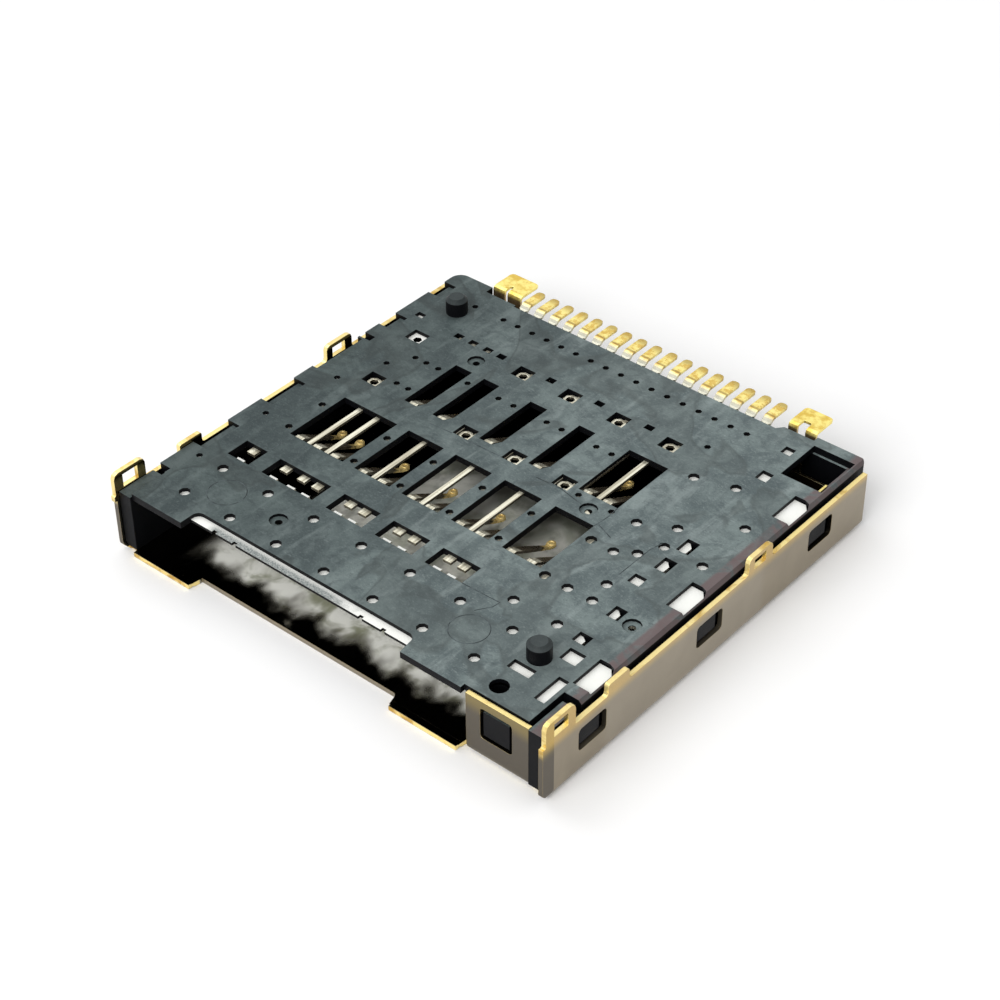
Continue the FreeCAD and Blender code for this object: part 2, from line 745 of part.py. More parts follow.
rear_edge = [
    (RIGHT, REAR_BLOCK, 0.3),
    (10.40, REAR_BLOCK),
    (10.40, 11.61),
    (8.62, 11.61),
    (8.30, REAR_FACE),
    (-8.90, REAR_FACE),
    (-8.90, 11.40),
    (-11.0, 11.40),
    (-11.0, REAR_BLOCK),
    (LEFT, REAR_BLOCK, 0.65),
]
plate_outline = [
    (LEFT, COLUMN_FRONT),
    (RAIL_INNER, COLUMN_FRONT),
    (RAIL_INNER, -13.22),
    (-9.21, -13.22),
    (-9.21, MOUTH_RECESS, 0.40),
    (4.87, MOUTH_RECESS, 0.40),
    (5.02, -13.26),
    (8.62, -13.26),
    (8.62, BLOCK_FRONT),
    (12.32, BLOCK_FRONT),
    (POST_LEFT, BLOCK_FRONT),
    (POST_LEFT, POST_FRONT),
    (RIGHT, POST_FRONT),
]
plate_sketch = body_sketch(housing, "plate_outline", height="sizes.board_face - sizes.plate_thick")
add_outline(plate_sketch, plate_outline + rear_edge)
pad(housing, plate_sketch, "sizes.plate_thick")

frame_outline = [
    (LEFT, COLUMN_FRONT),
    (RAIL_INNER, COLUMN_FRONT),
    (RAIL_INNER, 10.60),
    (BAY_LEFT, 10.60),
    (BAY_LEFT, 11.15),
    (BAY_RIGHT, 11.15),
    (BAY_RIGHT, STOP_FACE + 0.54),
    (STOP_LEFT, STOP_FACE + 0.54),
    (STOP_LEFT, STOP_FACE),
    (BAY_RIGHT, STOP_FACE),
    (BAY_RIGHT, BAY_FRONT),
    (BAY_LEFT, BAY_FRONT),
    (BAY_LEFT, 6.30),
    (LANE_RIGHT, 6.30),
    (LANE_RIGHT, BLOCK_FRONT),
    (POST_LEFT, BLOCK_FRONT),
    (POST_LEFT, POST_FRONT),
    (RIGHT, POST_FRONT),
]
frame_sketch = body_sketch(housing, "frame_outline", height="sizes.shell_gauge")
add_outline(frame_sketch, frame_outline + rear_edge)
pad(housing, frame_sketch, "sizes.board_face - sizes.shell_gauge")


# The lower outer edges are sloped, to clear the inside of the shell's folds
RELIEF = 0.3
low = size("shell_gauge")
side_relief = body_sketch(housing, "side_relief", "XZ_Plane", -REAR_BLOCK - 0.1)
left_relief = [(LEFT - 0.1, low - 0.1), (LEFT + RELIEF, low - 0.1), (LEFT - 0.1, low + RELIEF)]
add_outline(side_relief, left_relief)
right_relief = [(RIGHT + 0.1, low - 0.1), (RIGHT + 0.1, low + RELIEF), (RIGHT - RELIEF, low - 0.1)]
add_outline(side_relief, right_relief)
top = size("board_face")
bevel = 0.17 + 0.1
right_bevel = [(RIGHT + 0.1, top - bevel), (RIGHT + 0.1, top + 0.1), (RIGHT - bevel, top + 0.1)]
add_outline(side_relief, right_bevel)
pocket(housing, side_relief, "26", downward=False)
front_relief = body_sketch(housing, "front_relief", "YZ_Plane", LANE_RIGHT - 0.1)
fold_corner = [
    (BLOCK_FRONT - 0.1, low - 0.1),
    (BLOCK_FRONT + RELIEF, low - 0.1),
    (BLOCK_FRONT - 0.1, low + RELIEF),
]
add_outline(front_relief, fold_corner)
pocket(housing, front_relief, "3.72", downward=False)

# Grooves that part the corner post and the rail's front column from the plate
grooves = body_sketch(housing, "grooves", height="sizes.board_face")
post_groove = [
    (12.32, -13.4),
    (POST_LEFT, -13.4),
    (POST_LEFT, -10.95),
    (13.4, -10.95),
    (13.4, -10.59),
    (12.32, -10.59),
]
add_outline(grooves, post_groove)
add_outline(grooves, box_outline(LEFT - 0.1, -12.70, -11.09, -10.59))
add_outline(grooves, box_outline(LEFT - 0.1, -12.70, 3.85, 4.30))
add_outline(grooves, box_outline(12.39, 12.79, 0.25, 4.31))
add_outline(grooves, box_outline(12.45, 13.4, 4.05, 4.51))
pocket(housing, grooves, "0.80")

steps = body_sketch(housing, "low_tops", height="sizes.board_face")
add_outline(steps, box_outline(LEFT - 0.1, RAIL_INNER, -13.5, -11.0))
add_outline(steps, box_outline(12.4, 13.4, -13.5, -10.9))
pocket(housing, steps, "0.16")

notches = body_sketch(housing, "left_notches", height="sizes.board_face")
for notch_front, notch_rear in LEFT_NOTCHES:
    add_outline(notches, box_outline(LEFT - 0.1, -12.58, notch_front, notch_rear))
pocket(housing, notches, "sizes.skin_thick")
deep_notches = body_sketch(housing, "deep_notches", height="sizes.board_face")
for notch_front, notch_rear in LEFT_NOTCHES:
    add_outline(deep_notches, box_outline(LEFT - 0.1, -13.11, notch_front, notch_rear))
add_outline(deep_notches, box_outline(LEFT - 0.1, -13.11, 0.25, 3.71))
pocket(housing, deep_notches, "1.2")

# Pivot bore of the cam pin, open below, and the sector in which the pin swings
pivot_well = body_sketch(housing, "pivot_well", height="sizes.board_face")
add_outline(pivot_well, polygon(PIVOT.x, PIVOT.y, "sink_dia", 16))
pocket(housing, pivot_well, "1.0")
pivot_bore = body_sketch(housing, "pivot_bore", height="sizes.shell_gauge")
add_holes(pivot_bore, [(PIVOT.x, PIVOT.y)], "pin_bore_dia")
pocket(housing, pivot_bore, "2.15", downward=False)
sector = body_sketch(housing, "swing_sector", height="sizes.shell_gauge")
add_outline(sector, [(9.55, -12.50), (10.25, -12.50), (10.95, -9.8), (9.30, -9.8)])
pocket(housing, sector, "0.85", downward=False)

pegs = body_sketch(housing, "pegs", height="sizes.board_face")
add_holes(pegs, PEGS, "peg_dia")
pad(housing, pegs, "sizes.peg_height")
peg_top = size("board_face") + size("peg_height")
chamfer(housing, "sizes.peg_chamfer", lambda ends: all(near(p.z, peg_top) for p in ends))


def add_lugs(side, face, reach):
    """Snap lugs that the shell's side windows catch: flat on top, sloped below."""
    lugs = body_sketch(housing, f"{side}_lugs", "YZ_Plane", face)
    for front in LUG_FRONTS:
        add_outline(lugs, box_outline(front, front + 1.4, 1.60, 2.65))
    pad(housing, lugs, reach, upward=side == "right")
    outer = face + 0.36 if side == "right" else face - 0.22
    lower_edge = lambda ends: all(near(p.x, outer) and near(p.z, 1.60) for p in ends)
    chamfer(housing, "0.2", lower_edge)


add_lugs("right", RIGHT, "0.36")
add_lugs("left", LEFT, "0.22")

front_lug = body_sketch(housing, "front_lug", "XZ_Plane", -BLOCK_FRONT)
add_outline(front_lug, box_outline(9.90, 11.40, 1.55, 2.95))
pad(housing, front_lug, "0.24")

counterbores = body_sketch(housing, "counterbores", height="sizes.board_face")
for centre in COUNTERBORES:
    add_outline(counterbores, polygon(*centre, "sink_dia", 12))
pocket(housing, counterbores, "0.16")

windows = body_sketch(housing, "windows", height="sizes.board_face")
for x0, x1 in SLOT_WINDOWS:
    add_window(windows, x0, x1, "slot_row_front", "slot_row_rear")
for x0, x1 in FRONT_WINDOWS:
    add_window(windows, x0, x1, "front_row_front", "front_row_rear")
add_window(windows, *WIDE_REAR_WINDOW, "rear_row_front", "rear_row_rear")
pocket(housing, windows, "sizes.plate_thick")

rear_windows = body_sketch(housing, "rear_windows", height="sizes.board_face")
rear_front = size("rear_row_front")
rear_rear = size("rear_row_rear")
for x0, x1 in REAR_WINDOWS:
    skewed = [(x0, rear_front), (x1 - 0.28, rear_front), (x1, rear_front + 0.5)]
    add_outline(rear_windows, skewed + [(x1, rear_rear), (x0, rear_rear)])
pocket(housing, rear_windows, "sizes.plate_thick")

# Small openings through the plate, and the beds that the metal inserts leave in it
openings = [box_outline(*window) for window in list(TONGUE_WINDOWS.values()) + SMALL_WINDOWS]
openings += [box_outline(x - 0.5, x + 0.5, y - 0.45, y + 0.45) for x, y in EYELET_WINDOWS]
openings += [box_outline(x - 0.25, x + 0.25, y - 0.2, y + 0.2) for x, y in SQUARE_HOLES]
for slot_front, slot_rear in EDGE_SLOTS:
    slot = [
        (EDGE_SLOT_X[0], slot_front),
        (EDGE_SLOT_X[1], slot_front),
        (EDGE_SLOT_X[1], slot_rear, 0.45),
        (EDGE_SLOT_X[0], slot_rear),
    ]
    openings.append(eased(slot))
openings += [polygon(x, y, "pilot_dia", 8) for x, y in COUNTERBORES]
plate_openings = cutter("plate_openings", openings, "sizes.plate_thick + 0.04")

# Round holes in the skin over the metal, where the mould's pins held the leads
skin_holes = [polygon(x, y, "vent_dia", 8) for x, y in VENTS]
skin_holes += [polygon(x, y, "rib_hole_dia", 6) for x, y in RIB_HOLES]
tail_holes = [(FIRST_TAIL + size("tail_pitch") * step, TAIL_HOLE_Y) for step in range(17)]
tail_holes.append((FIRST_TAIL - 2 * size("tail_pitch"), TAIL_HOLE_Y))
skin_holes += [polygon(x, y, "lead_hole_dia", 6) for x, y in LEAD_HOLES + tail_holes]
skin_openings = cutter("skin_openings", skin_holes, "sizes.plate_thick - sizes.lead_gauge")

all_openings = doc.addObject("Part::Compound", "all_openings")
all_openings.Links = [plate_openings, skin_openings]
opened = doc.addObject("Part::Cut", "housing_opened")
opened.Base = housing
opened.Tool = all_openings
inserts = doc.addObject("Part::Compound", "inserts")
inserts.Links = contacts + [ground, left_anchor, right_anchor, detect_spring]
base_housing = doc.addObject("Part::Cut", "base_housing_moulded")
base_housing.Base = opened
base_housing.Tool = inserts
base_housing.Label = "base_housing"


# Shell: one folded sheet with floor, side walls, solder tabs, front flap and side windows

GAUGE = size("shell_gauge")
HALF = size("shell_half_width")
FOLD = size("shell_fold")
RIM = size("shell_rim")
WALL_FRONT = -size("shell_front")
WALL_REAR = size("shell_rear")
LEFT_WALL_FRONT = -13.52

shell = new_body("shield_shell")
section = body_sketch(shell, "section", "XZ_Plane", "-sizes.shell_rear")
middle = GAUGE / 2
bend = FOLD - middle
add_outline(
    section,
    band(
        [
            (-HALF + middle, RIM),
            (-HALF + middle, middle, bend),
            (HALF - middle, middle, bend),
            (HALF - middle, RIM),
        ],
        GAUGE,
    ),
)
pad(shell, section, "sizes.shell_rear + sizes.shell_front")

floor_front = body_sketch(shell, "floor_front")
add_outline(
    floor_front,
    [
        (-13.2, -13.9),
        (13.2, -13.9),
        (13.2, -13.1),
        (12.58, -13.1),
        (12.58, -12.79),
        (8.86, -12.79),
        (8.60, -13.0),
        (8.55, -13.59),
        (4.42, -13.59),
        (4.20, -12.79, 0.25),
        (-8.60, -12.79),
        (-8.71, -13.59),
        (-12.65, -13.59),
        (-12.65, -13.2),
        (-13.2, -13.2),
    ],
)
pocket(shell, floor_front, "0.4", downward=False)

wall_cuts = body_sketch(shell, "wall_cuts", "YZ_Plane", -HALF - 0.1)
add_outline(wall_cuts, [(WALL_FRONT - 0.1, -0.1), (-13.15, -0.1), (WALL_FRONT - 0.1, 0.65)])
add_outline(wall_cuts, [(WALL_REAR - 0.45, -0.1), (WALL_REAR + 0.1, -0.1), (WALL_REAR + 0.1, 0.45)])
for front, rear in ((-11.29, -9.32), (-2.62, -0.62), (6.45, 8.45)):
    add_outline(wall_cuts, eased(box_outline(front, rear, 1.45, 2.75, 0.2)))
pocket(shell, wall_cuts, "2 * sizes.shell_half_width + 0.2", downward=False)

left_trim = body_sketch(shell, "left_trim", "YZ_Plane", -HALF - 0.1)
add_outline(left_trim, box_outline(WALL_FRONT - 0.1, LEFT_WALL_FRONT, -0.1, RIM + 0.1))
pocket(shell, left_trim, "1.0", downward=False)

TABS = [
    (-13.55, -11.52, "front_tab_top", 0.10, 0.30, (-12.99, -12.02, 3.63, 4.37)),
    (-9.22, -7.72, "middle_tab_top", 0.20, 0.12, None),
    (1.38, 3.28, "rear_tab_top", 0.25, 0.25, (1.81, 2.75, 3.42, 4.00)),
]


def add_tabs(side, face):
    """Solder tabs that stand on one wall's rim."""
    tabs = body_sketch(shell, f"{side}_tabs", "YZ_Plane", face)
    for front, rear, top, flare, corner, hole in TABS:
        height = size(top)
        outline = [
            (front - flare, RIM - 0.3),
            (rear + flare, RIM - 0.3),
            (rear + flare, RIM),
            (rear, RIM, flare * 0.8),
            (rear, height, corner),
            (front, height, corner),
            (front, RIM, flare * 0.8),
            (front - flare, RIM),
        ]
        add_outline(tabs, eased(outline))
        if hole:
            add_outline(tabs, box_outline(*hole))
    pad(shell, tabs, "sizes.shell_gauge")


add_tabs("right", HALF - GAUGE)
add_tabs("left", -HALF)

flap = body_sketch(shell, "front_flap", "YZ_Plane", 8.92)
flap_middle = -size("flap_face") + middle
flap_path = [(-12.6, middle), (flap_middle, middle, bend), (flap_middle, size("flap_top"))]
add_outline(flap, band(flap_path, GAUGE))
pad(shell, flap, "3.60")
flap_window = body_sketch(shell, "flap_window", "XZ_Plane", size("flap_face") - 0.35)
add_outline(flap_window, eased(box_outline(9.75, 11.59, 1.37, 3.17, 0.17)))
pocket(shell, flap_window, "0.5", downward=False)

# Leaf cut from the floor, which presses the cam pin up into its track
LEAF_ROOT = -6.0
LEAF_TIP = -9.70
leaf_gap = body_sketch(shell, "leaf_gap")
add_outline(leaf_gap, box_outline(9.55, 11.45, LEAF_TIP - 0.15, LEAF_ROOT))
pocket(shell, leaf_gap, "0.3", downward=False)
leaf = body_sketch(shell, "leaf", "YZ_Plane", 9.70)
leaf_path = [(LEAF_ROOT + 0.2, middle), (LEAF_ROOT - 0.2, middle), (LEAF_TIP, middle + 0.12)]
add_outline(leaf, band(leaf_path, GAUGE))
pad(shell, leaf, "1.6")


# Slider: cam block, leg and foot, two runners, heart-shaped track below, nose for the coil

SLIDER_LEFT = 9.30
SLIDER_RIGHT = 12.60
SLIDER_FRONT = -9.85
LEG_RIGHT = 10.30
LEG_REAR = 7.45
FOOT_LEFT = 8.15
FOOT_FRONT = 6.71
COIL_X = 11.50
COIL_LEVEL = 2.12
LANE_OUT = 11.40
LANE_BACK = 9.85
TIP_REST_Y = -4.20

slider = new_body("ejector_slider")
slider_plan = body_sketch(slider, "slider_plan", height="sizes.slider_bottom")
add_outline(
    slider_plan,
    eased([
        (SLIDER_LEFT, SLIDER_FRONT, 0.2),
        (SLIDER_RIGHT, SLIDER_FRONT, 0.2),
        (SLIDER_RIGHT, size("coil_front"), 0.1),
        (LEG_RIGHT, size("coil_front"), 0.3),
        (LEG_RIGHT, LEG_REAR, 0.2),
        (FOOT_LEFT, LEG_REAR, 0.3),
        (FOOT_LEFT, FOOT_FRONT, 0.1),
        (SLIDER_LEFT, FOOT_FRONT, 0.2),
    ]),
)
pad(slider, slider_plan, "sizes.slider_top - sizes.slider_bottom")
runners = body_sketch(slider, "runners", height=0.35)
add_outline(runners, box_outline(12.15, SLIDER_RIGHT, -9.4, -2.4))
add_outline(runners, box_outline(SLIDER_LEFT, 9.75, -2.9, LEG_REAR - 0.3))
pad(slider, runners, "sizes.slider_bottom - 0.35 + 0.1")
nose = body_sketch(slider, "coil_nose", "XZ_Plane", "-sizes.coil_front")
nose_circle = nose.addGeometry(Part.Circle(Vector(COIL_X, COIL_LEVEL, 0), Vector(0, 0, 1), 0.6), False)
nose.addConstraint(Sketcher.Constraint("Block", nose_circle))
pad(slider, nose, "1.1", upward=False)

# The pin's tip stands at the rear of the track. It runs forward in the outer lane as the slider goes
# in, drops into the heart's notch, and returns in the inner lane.
track = body_sketch(slider, "track", height="sizes.slider_bottom")
half_track = size("track_width") / 2
lane_front = TIP_REST_Y - size("stroke")
tip_radius = math.hypot(LANE_OUT - PIVOT.x, TIP_REST_Y - PIVOT.y)
inner_tip_y = PIVOT.y + math.sqrt(tip_radius ** 2 - (LANE_BACK - PIVOT.x) ** 2)
track_outer = box_outline(
    LANE_BACK - half_track, LANE_OUT + half_track, lane_front - half_track, inner_tip_y + half_track, 0.25
)
add_outline(track, eased(track_outer))
heart_left = LANE_BACK + half_track
heart_right = LANE_OUT - half_track
heart_middle = (heart_left + heart_right) / 2
heart_front = lane_front + half_track + 0.14
heart_rear = TIP_REST_Y - half_track - 0.05
add_outline(
    track,
    eased([
        (heart_left, heart_front, 0.08),
        (heart_middle - 0.3, heart_front, 0.05),
        (heart_middle, heart_front + 0.42, 0.24),
        (heart_middle + 0.3, heart_front, 0.05),
        (heart_right, heart_front, 0.08),
        (heart_right, heart_rear - 0.5, 0.2),
        (heart_middle, heart_rear, 0.12),
        (heart_left, heart_rear - 0.5, 0.2),
    ]),
)
pocket(slider, track, "sizes.track_depth", downward=False)


# Coil spring between the slider's shoulder and the housing's stop wall

def bent_wire(name, points, diameter, sides):
    """Wire along a bent path, its section a regular polygon square to the first stretch."""
    path = doc.addObject("Part::Polygon", f"{name}_path")
    path.Nodes = points
    path.Close = False
    section = doc.addObject("Part::RegularPolygon", f"{name}_section")
    section.Polygon = sides
    section.setExpression("Circumradius", f"sizes.{diameter} / 2")
    first_stretch = FreeCAD.Rotation(Vector(0, 0, 1), points[1] - points[0])
    section.Placement = FreeCAD.Placement(points[0], first_stretch)
    wire = doc.addObject("Part::Sweep", f"{name}_sweep")
    wire.Sections = [section]
    wire.Spine = (path, [])
    wire.Solid = True
    wire.Transition = "Right corner"
    wire.Label = name
    return wire


COIL_STEPS = 8
coil_radius = (size("coil_dia") - size("coil_wire_dia")) / 2
coil_start = size("coil_front") + size("coil_wire_dia") / 2 + 0.02
coil_length = size("coil_rear") - size("coil_front") - size("coil_wire_dia") - 0.04
step_count = int(size("coil_turns")) * COIL_STEPS
coil_points = []
for step in range(step_count + 1):
    turned = 2 * math.pi * step / COIL_STEPS
    coil_points.append(
        Vector(
            COIL_X + coil_radius * math.cos(turned),
            coil_start + coil_length * step / step_count,
            COIL_LEVEL + coil_radius * math.sin(turned),
        )
    )
ejector_spring = bent_wire("ejector_spring", coil_points, "coil_wire_dia", 6)


# Cam pin: a wire staple, its front leg in the housing and its rear leg in the track

PIN_LEG_TOP = 2.30
TIP_TOP = 1.78
BEND = 0.32
tip = Vector(LANE_OUT, TIP_REST_Y, 0)
along = (tip - PIVOT).normalize()
level = size("pin_level")
bend_steps = [math.radians(angle) for angle in (0, 45, 90)]
front_bend = [(BEND * (1 - math.cos(angle)), BEND * (1 - math.sin(angle))) for angle in bend_steps]
pin_points = [PIVOT + Vector(0, 0, PIN_LEG_TOP)]
pin_points += [PIVOT + along * ahead + Vector(0, 0, level + above) for ahead, above in front_bend]
pin_points += [tip - along * ahead + Vector(0, 0, level + above) for ahead, above in front_bend[::-1]]
pin_points.append(tip + Vector(0, 0, TIP_TOP))
cam_pin = bent_wire("cam_pin", pin_points, "pin_dia", 8)

doc.recompute()


# Check every object, then write one file for each piece

PIECES = [base_housing, shell, ground, left_anchor, right_anchor, detect_spring]
PIECES += contacts + [slider, ejector_spring, cam_pin]

for item in doc.Objects:
    if "Invalid" in item.State or "Error" in item.State:
        raise RuntimeError(f"{item.Label} failed: {item.State}")
for piece in PIECES:
    shape = piece.Shape
    if shape.isNull() or not shape.isValid():
        raise RuntimeError(f"{piece.Label} has no valid shape")
    if len(shape.Solids) != 1:
        raise RuntimeError(f"{piece.Label} has {len(shape.Solids)} solids")

os.makedirs("parts", exist_ok=True)
for piece in PIECES:
    piece.Shape.Solids[0].exportStep(f"parts/{piece.Label}.step")
    print(f"{piece.Label}: {piece.Shape.Volume:.3f} mm3")
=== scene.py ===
import math

import bpy
from mathutils import Matrix, Vector


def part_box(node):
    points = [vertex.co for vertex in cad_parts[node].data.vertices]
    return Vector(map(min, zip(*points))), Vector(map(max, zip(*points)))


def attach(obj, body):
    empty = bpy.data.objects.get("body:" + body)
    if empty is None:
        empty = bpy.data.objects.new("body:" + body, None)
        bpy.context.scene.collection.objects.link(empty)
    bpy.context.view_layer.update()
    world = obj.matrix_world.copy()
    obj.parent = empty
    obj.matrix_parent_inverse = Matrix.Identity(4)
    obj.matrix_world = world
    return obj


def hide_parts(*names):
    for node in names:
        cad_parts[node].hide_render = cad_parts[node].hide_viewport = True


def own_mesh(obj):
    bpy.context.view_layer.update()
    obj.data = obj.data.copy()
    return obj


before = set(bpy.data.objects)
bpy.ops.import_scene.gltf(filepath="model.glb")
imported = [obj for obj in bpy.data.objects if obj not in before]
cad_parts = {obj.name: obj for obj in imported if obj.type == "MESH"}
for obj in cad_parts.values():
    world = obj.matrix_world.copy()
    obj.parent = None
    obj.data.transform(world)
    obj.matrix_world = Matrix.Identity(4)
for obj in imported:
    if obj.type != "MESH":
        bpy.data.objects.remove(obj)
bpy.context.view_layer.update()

# Moulded base: the plate that lies against the board, with its side rails, pegs and ejector bay.
# Black glass-filled resin, moulded round the metal leads in one shot. Its flat skin dries to a cloudy
# slate grey with rubbed lines, the upright faces are painted nearly black as shade, and the edges are worn
# pale.

MM = 0.001


def seen(red, green, blue):
    """A colour as the eye reads it, 0 to 255, as the light values that a shader takes."""
    shares = [channel / 255 for channel in (red, green, blue)]
    lit = [share / 12.92 if share <= 0.04045 else ((share + 0.055) / 1.055) ** 2.4 for share in shares]
    return (*lit, 1.0)


def put(tree, kind, sockets=None, **settings):
    """Add a node. Each named or numbered socket takes a plain value or another node's output."""
    node = tree.nodes.new(kind)
    for name, value in settings.items():
        setattr(node, name, value)
    for key, value in (sockets or {}).items():
        if isinstance(value, bpy.types.NodeSocket):
            tree.links.new(value, node.inputs[key])
        else:
            node.inputs[key].default_value = value
    return node


def maths(tree, operation, *values):
    return put(tree, "ShaderNodeMath", dict(enumerate(values)), operation=operation).outputs[0]


def all_of(tree, first, *others):
    """The product of masks: 1 only where every one of them is."""
    whole = first
    for mask in others:
        whole = maths(tree, "MULTIPLY", whole, mask)
    return whole


def above(tree, value, limit):
    return maths(tree, "GREATER_THAN", value, limit)


def step_up(tree, value, low, high):
    """0 below low, 1 above high, and a smooth rise between; low above high gives a fall."""
    sockets = {"Value": value, "From Min": low, "From Max": high}
    return put(tree, "ShaderNodeMapRange", sockets, interpolation_type="SMOOTHSTEP").outputs["Result"]


def blend_colour(tree, factor, first, second, way="MIX"):
    """The first colour where the factor is 0 and the second where it is 1."""
    sockets = {0: factor, 6: first, 7: second}
    return put(tree, "ShaderNodeMix", sockets, data_type="RGBA", blend_type=way).outputs[2]


def tint(tree, under, colour, mask, share=1.0):
    """Lay a colour over another where the mask is 1, as far as the share says."""
    return blend_colour(tree, maths(tree, "MULTIPLY", mask, share), under, colour)


def place_mm(tree):
    """The point on the piece in millimetres of the slot's own frame, and its three parts."""
    metres = put(tree, "ShaderNodeTexCoord").outputs["Object"]
    point = put(tree, "ShaderNodeVectorMath", {0: metres, "Scale": 1 / MM}, operation="SCALE").outputs[0]
    return point, put(tree, "ShaderNodeSeparateXYZ", {0: point}).outputs


def face_direction(tree):
    """The three parts of the direction that a face looks in."""
    normal = put(tree, "ShaderNodeNewGeometry").outputs["True Normal"]
    return put(tree, "ShaderNodeSeparateXYZ", {0: normal}).outputs


def cloud(tree, point, scale, detail=4.0, stretch=(1, 1, 1), turn=0.0, roughness=0.55, distortion=0.0):
    """Noise with so many features per millimetre, stretched and turned in plan."""
    sockets = {"Vector": point, "Rotation": (0, 0, math.radians(turn)), "Scale": stretch}
    laid = put(tree, "ShaderNodeMapping", sockets).outputs[0]
    sockets = {"Vector": laid, "Scale": scale, "Detail": detail}
    sockets.update({"Roughness": roughness, "Distortion": distortion})
    return put(tree, "ShaderNodeTexNoise", sockets).outputs["Fac"]


def new_material(name, metallic=0.0):
    material = bpy.data.materials.new(name)
    material.use_nodes = True
    shader = material.node_tree.nodes["Principled BSDF"]
    shader.inputs["Metallic"].default_value = metallic
    return material, material.node_tree, shader


def finish(tree, shader, colour, roughness, height=None, strength=0.3, depth=0.01, normal=None):
    """Join colour, roughness, relief and rounded normal to the shader; depth is in millimetres."""
    tree.links.new(colour, shader.inputs["Base Color"])
    tree.links.new(roughness, shader.inputs["Roughness"])
    if height is not None:
        sockets = {"Height": height, "Strength": strength, "Distance": depth * MM}
        if normal is not None:
            sockets["Normal"] = normal
        normal = put(tree, "ShaderNodeBump", sockets).outputs["Normal"]
    if normal is not None:
        tree.links.new(normal, shader.inputs["Normal"])


def dress(material, *nodes):
    for node in nodes:
        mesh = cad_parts[node].data
        mesh.materials.clear()
        mesh.materials.append(material)


# Worn edges, used on the mouldings and the sheet metal. The group gives a rounded normal and a mask
# that is 1 where the rounded normal turns well away from the face.
EDGE_TURN = (0.995, 0.82)
worn_edge = bpy.data.node_groups.new("worn_edge", "ShaderNodeTree")
worn_edge.interface.new_socket("Radius mm", in_out="INPUT", socket_type="NodeSocketFloat")
worn_edge.interface.new_socket("Edge", in_out="OUTPUT", socket_type="NodeSocketFloat")
worn_edge.interface.new_socket("Normal", in_out="OUTPUT", socket_type="NodeSocketVector")
ins = worn_edge.nodes.new("NodeGroupInput").outputs
outs = worn_edge.nodes.new("NodeGroupOutput").inputs
radius = maths(worn_edge, "MULTIPLY", ins["Radius mm"], MM)
rounded = put(worn_edge, "ShaderNodeBevel", {"Radius": radius}, samples=6).outputs["Normal"]
flat = put(worn_edge, "ShaderNodeNewGeometry").outputs["True Normal"]
agree = put(worn_edge, "ShaderNodeVectorMath", {0: rounded, 1: flat}, operation="DOT_PRODUCT")
worn_edge.links.new(step_up(worn_edge, agree.outputs["Value"], *EDGE_TURN), outs["Edge"])
worn_edge.links.new(rounded, outs["Normal"])


def edge_wear(tree, radius):
    """The worn edge group in a material, for edges rounded to this radius in millimetres."""
    return put(tree, "ShaderNodeGroup", {"Radius mm": radius}, node_tree=worn_edge).outputs


SKIN_HEIGHT = (2.8, 3.1)
RAIL_START = (12.55, 12.75)
PEG_FOOT = 3.80
CORNER_REACH = (-13.0, 7.0)
RESIN_GLOSS = 0.09
SLATE_DARK = seen(90, 101, 102)
SLATE_PALE = seen(118, 130, 129)
RUBBED_PALE = seen(142, 153, 152)
RUBBED_DARK = seen(88, 98, 100)
BLOTCH_DARK = seen(80, 90, 92)
FIBRE_PALE = seen(150, 161, 160)
FIBRE_DARK = seen(68, 77, 79)
DRIED_FILM = seen(86, 94, 93)
DRIED_RIM = seen(66, 72, 72)
CORNER_SHADE = seen(186, 190, 190)
NO_SHADE = seen(255, 255, 255)
RAIL_BROWN = seen(108, 92, 92)
PEG_GREY = seen(54, 59, 60)
SIDE_SHADE_BLACK = seen(4, 4, 6)
SIDE_SHADE_DARK = seen(13, 14, 17)
SCUFF_PALE = seen(134, 142, 142)

plastic, tree, shader = new_material("housing_resin")
shader.inputs["Specular IOR Level"].default_value = RESIN_GLOSS
point, part = place_mm(tree)
facing = face_direction(tree)
edge = edge_wear(tree, 0.04)
clouds = cloud(tree, point, 0.30, detail=6, distortion=1.0)
blotches = cloud(tree, point, 0.9, detail=6, roughness=0.62, distortion=0.8)
fibres = cloud(tree, point, 6.0, detail=5, stretch=(0.75, 1.3, 1), turn=34, roughness=0.75, distortion=1.2)
grain = cloud(tree, point, 24.0, detail=3, roughness=0.7)
flow = cloud(tree, point, 0.50, detail=5, stretch=(2.0, 0.35, 1), turn=-22, distortion=0.7)
dried = cloud(tree, point, 0.13, detail=3, roughness=0.45, distortion=1.6)

# Skin of the plate: slate clouds, rubbed lines, glass fibres and the rims of dried stains
skin = blend_colour(tree, step_up(tree, clouds, 0.34, 0.66), SLATE_DARK, SLATE_PALE)
skin = tint(tree, skin, RUBBED_PALE, step_up(tree, flow, 0.50, 0.68), 0.55)
skin = tint(tree, skin, RUBBED_DARK, step_up(tree, flow, 0.46, 0.30), 0.45)
skin = tint(tree, skin, BLOTCH_DARK, step_up(tree, blotches, 0.55, 0.34), 0.60)
skin = tint(tree, skin, FIBRE_PALE, step_up(tree, fibres, 0.50, 0.72), 0.50)
skin = tint(tree, skin, FIBRE_DARK, step_up(tree, fibres, 0.48, 0.28), 0.55)
dried_patch = step_up(tree, dried, 0.545, 0.575)
dried_rim = all_of(tree, dried_patch, step_up(tree, dried, 0.60, 0.575))
skin = tint(tree, skin, DRIED_FILM, dried_patch, 0.30)
skin = tint(tree, skin, DRIED_RIM, dried_rim, 0.32)
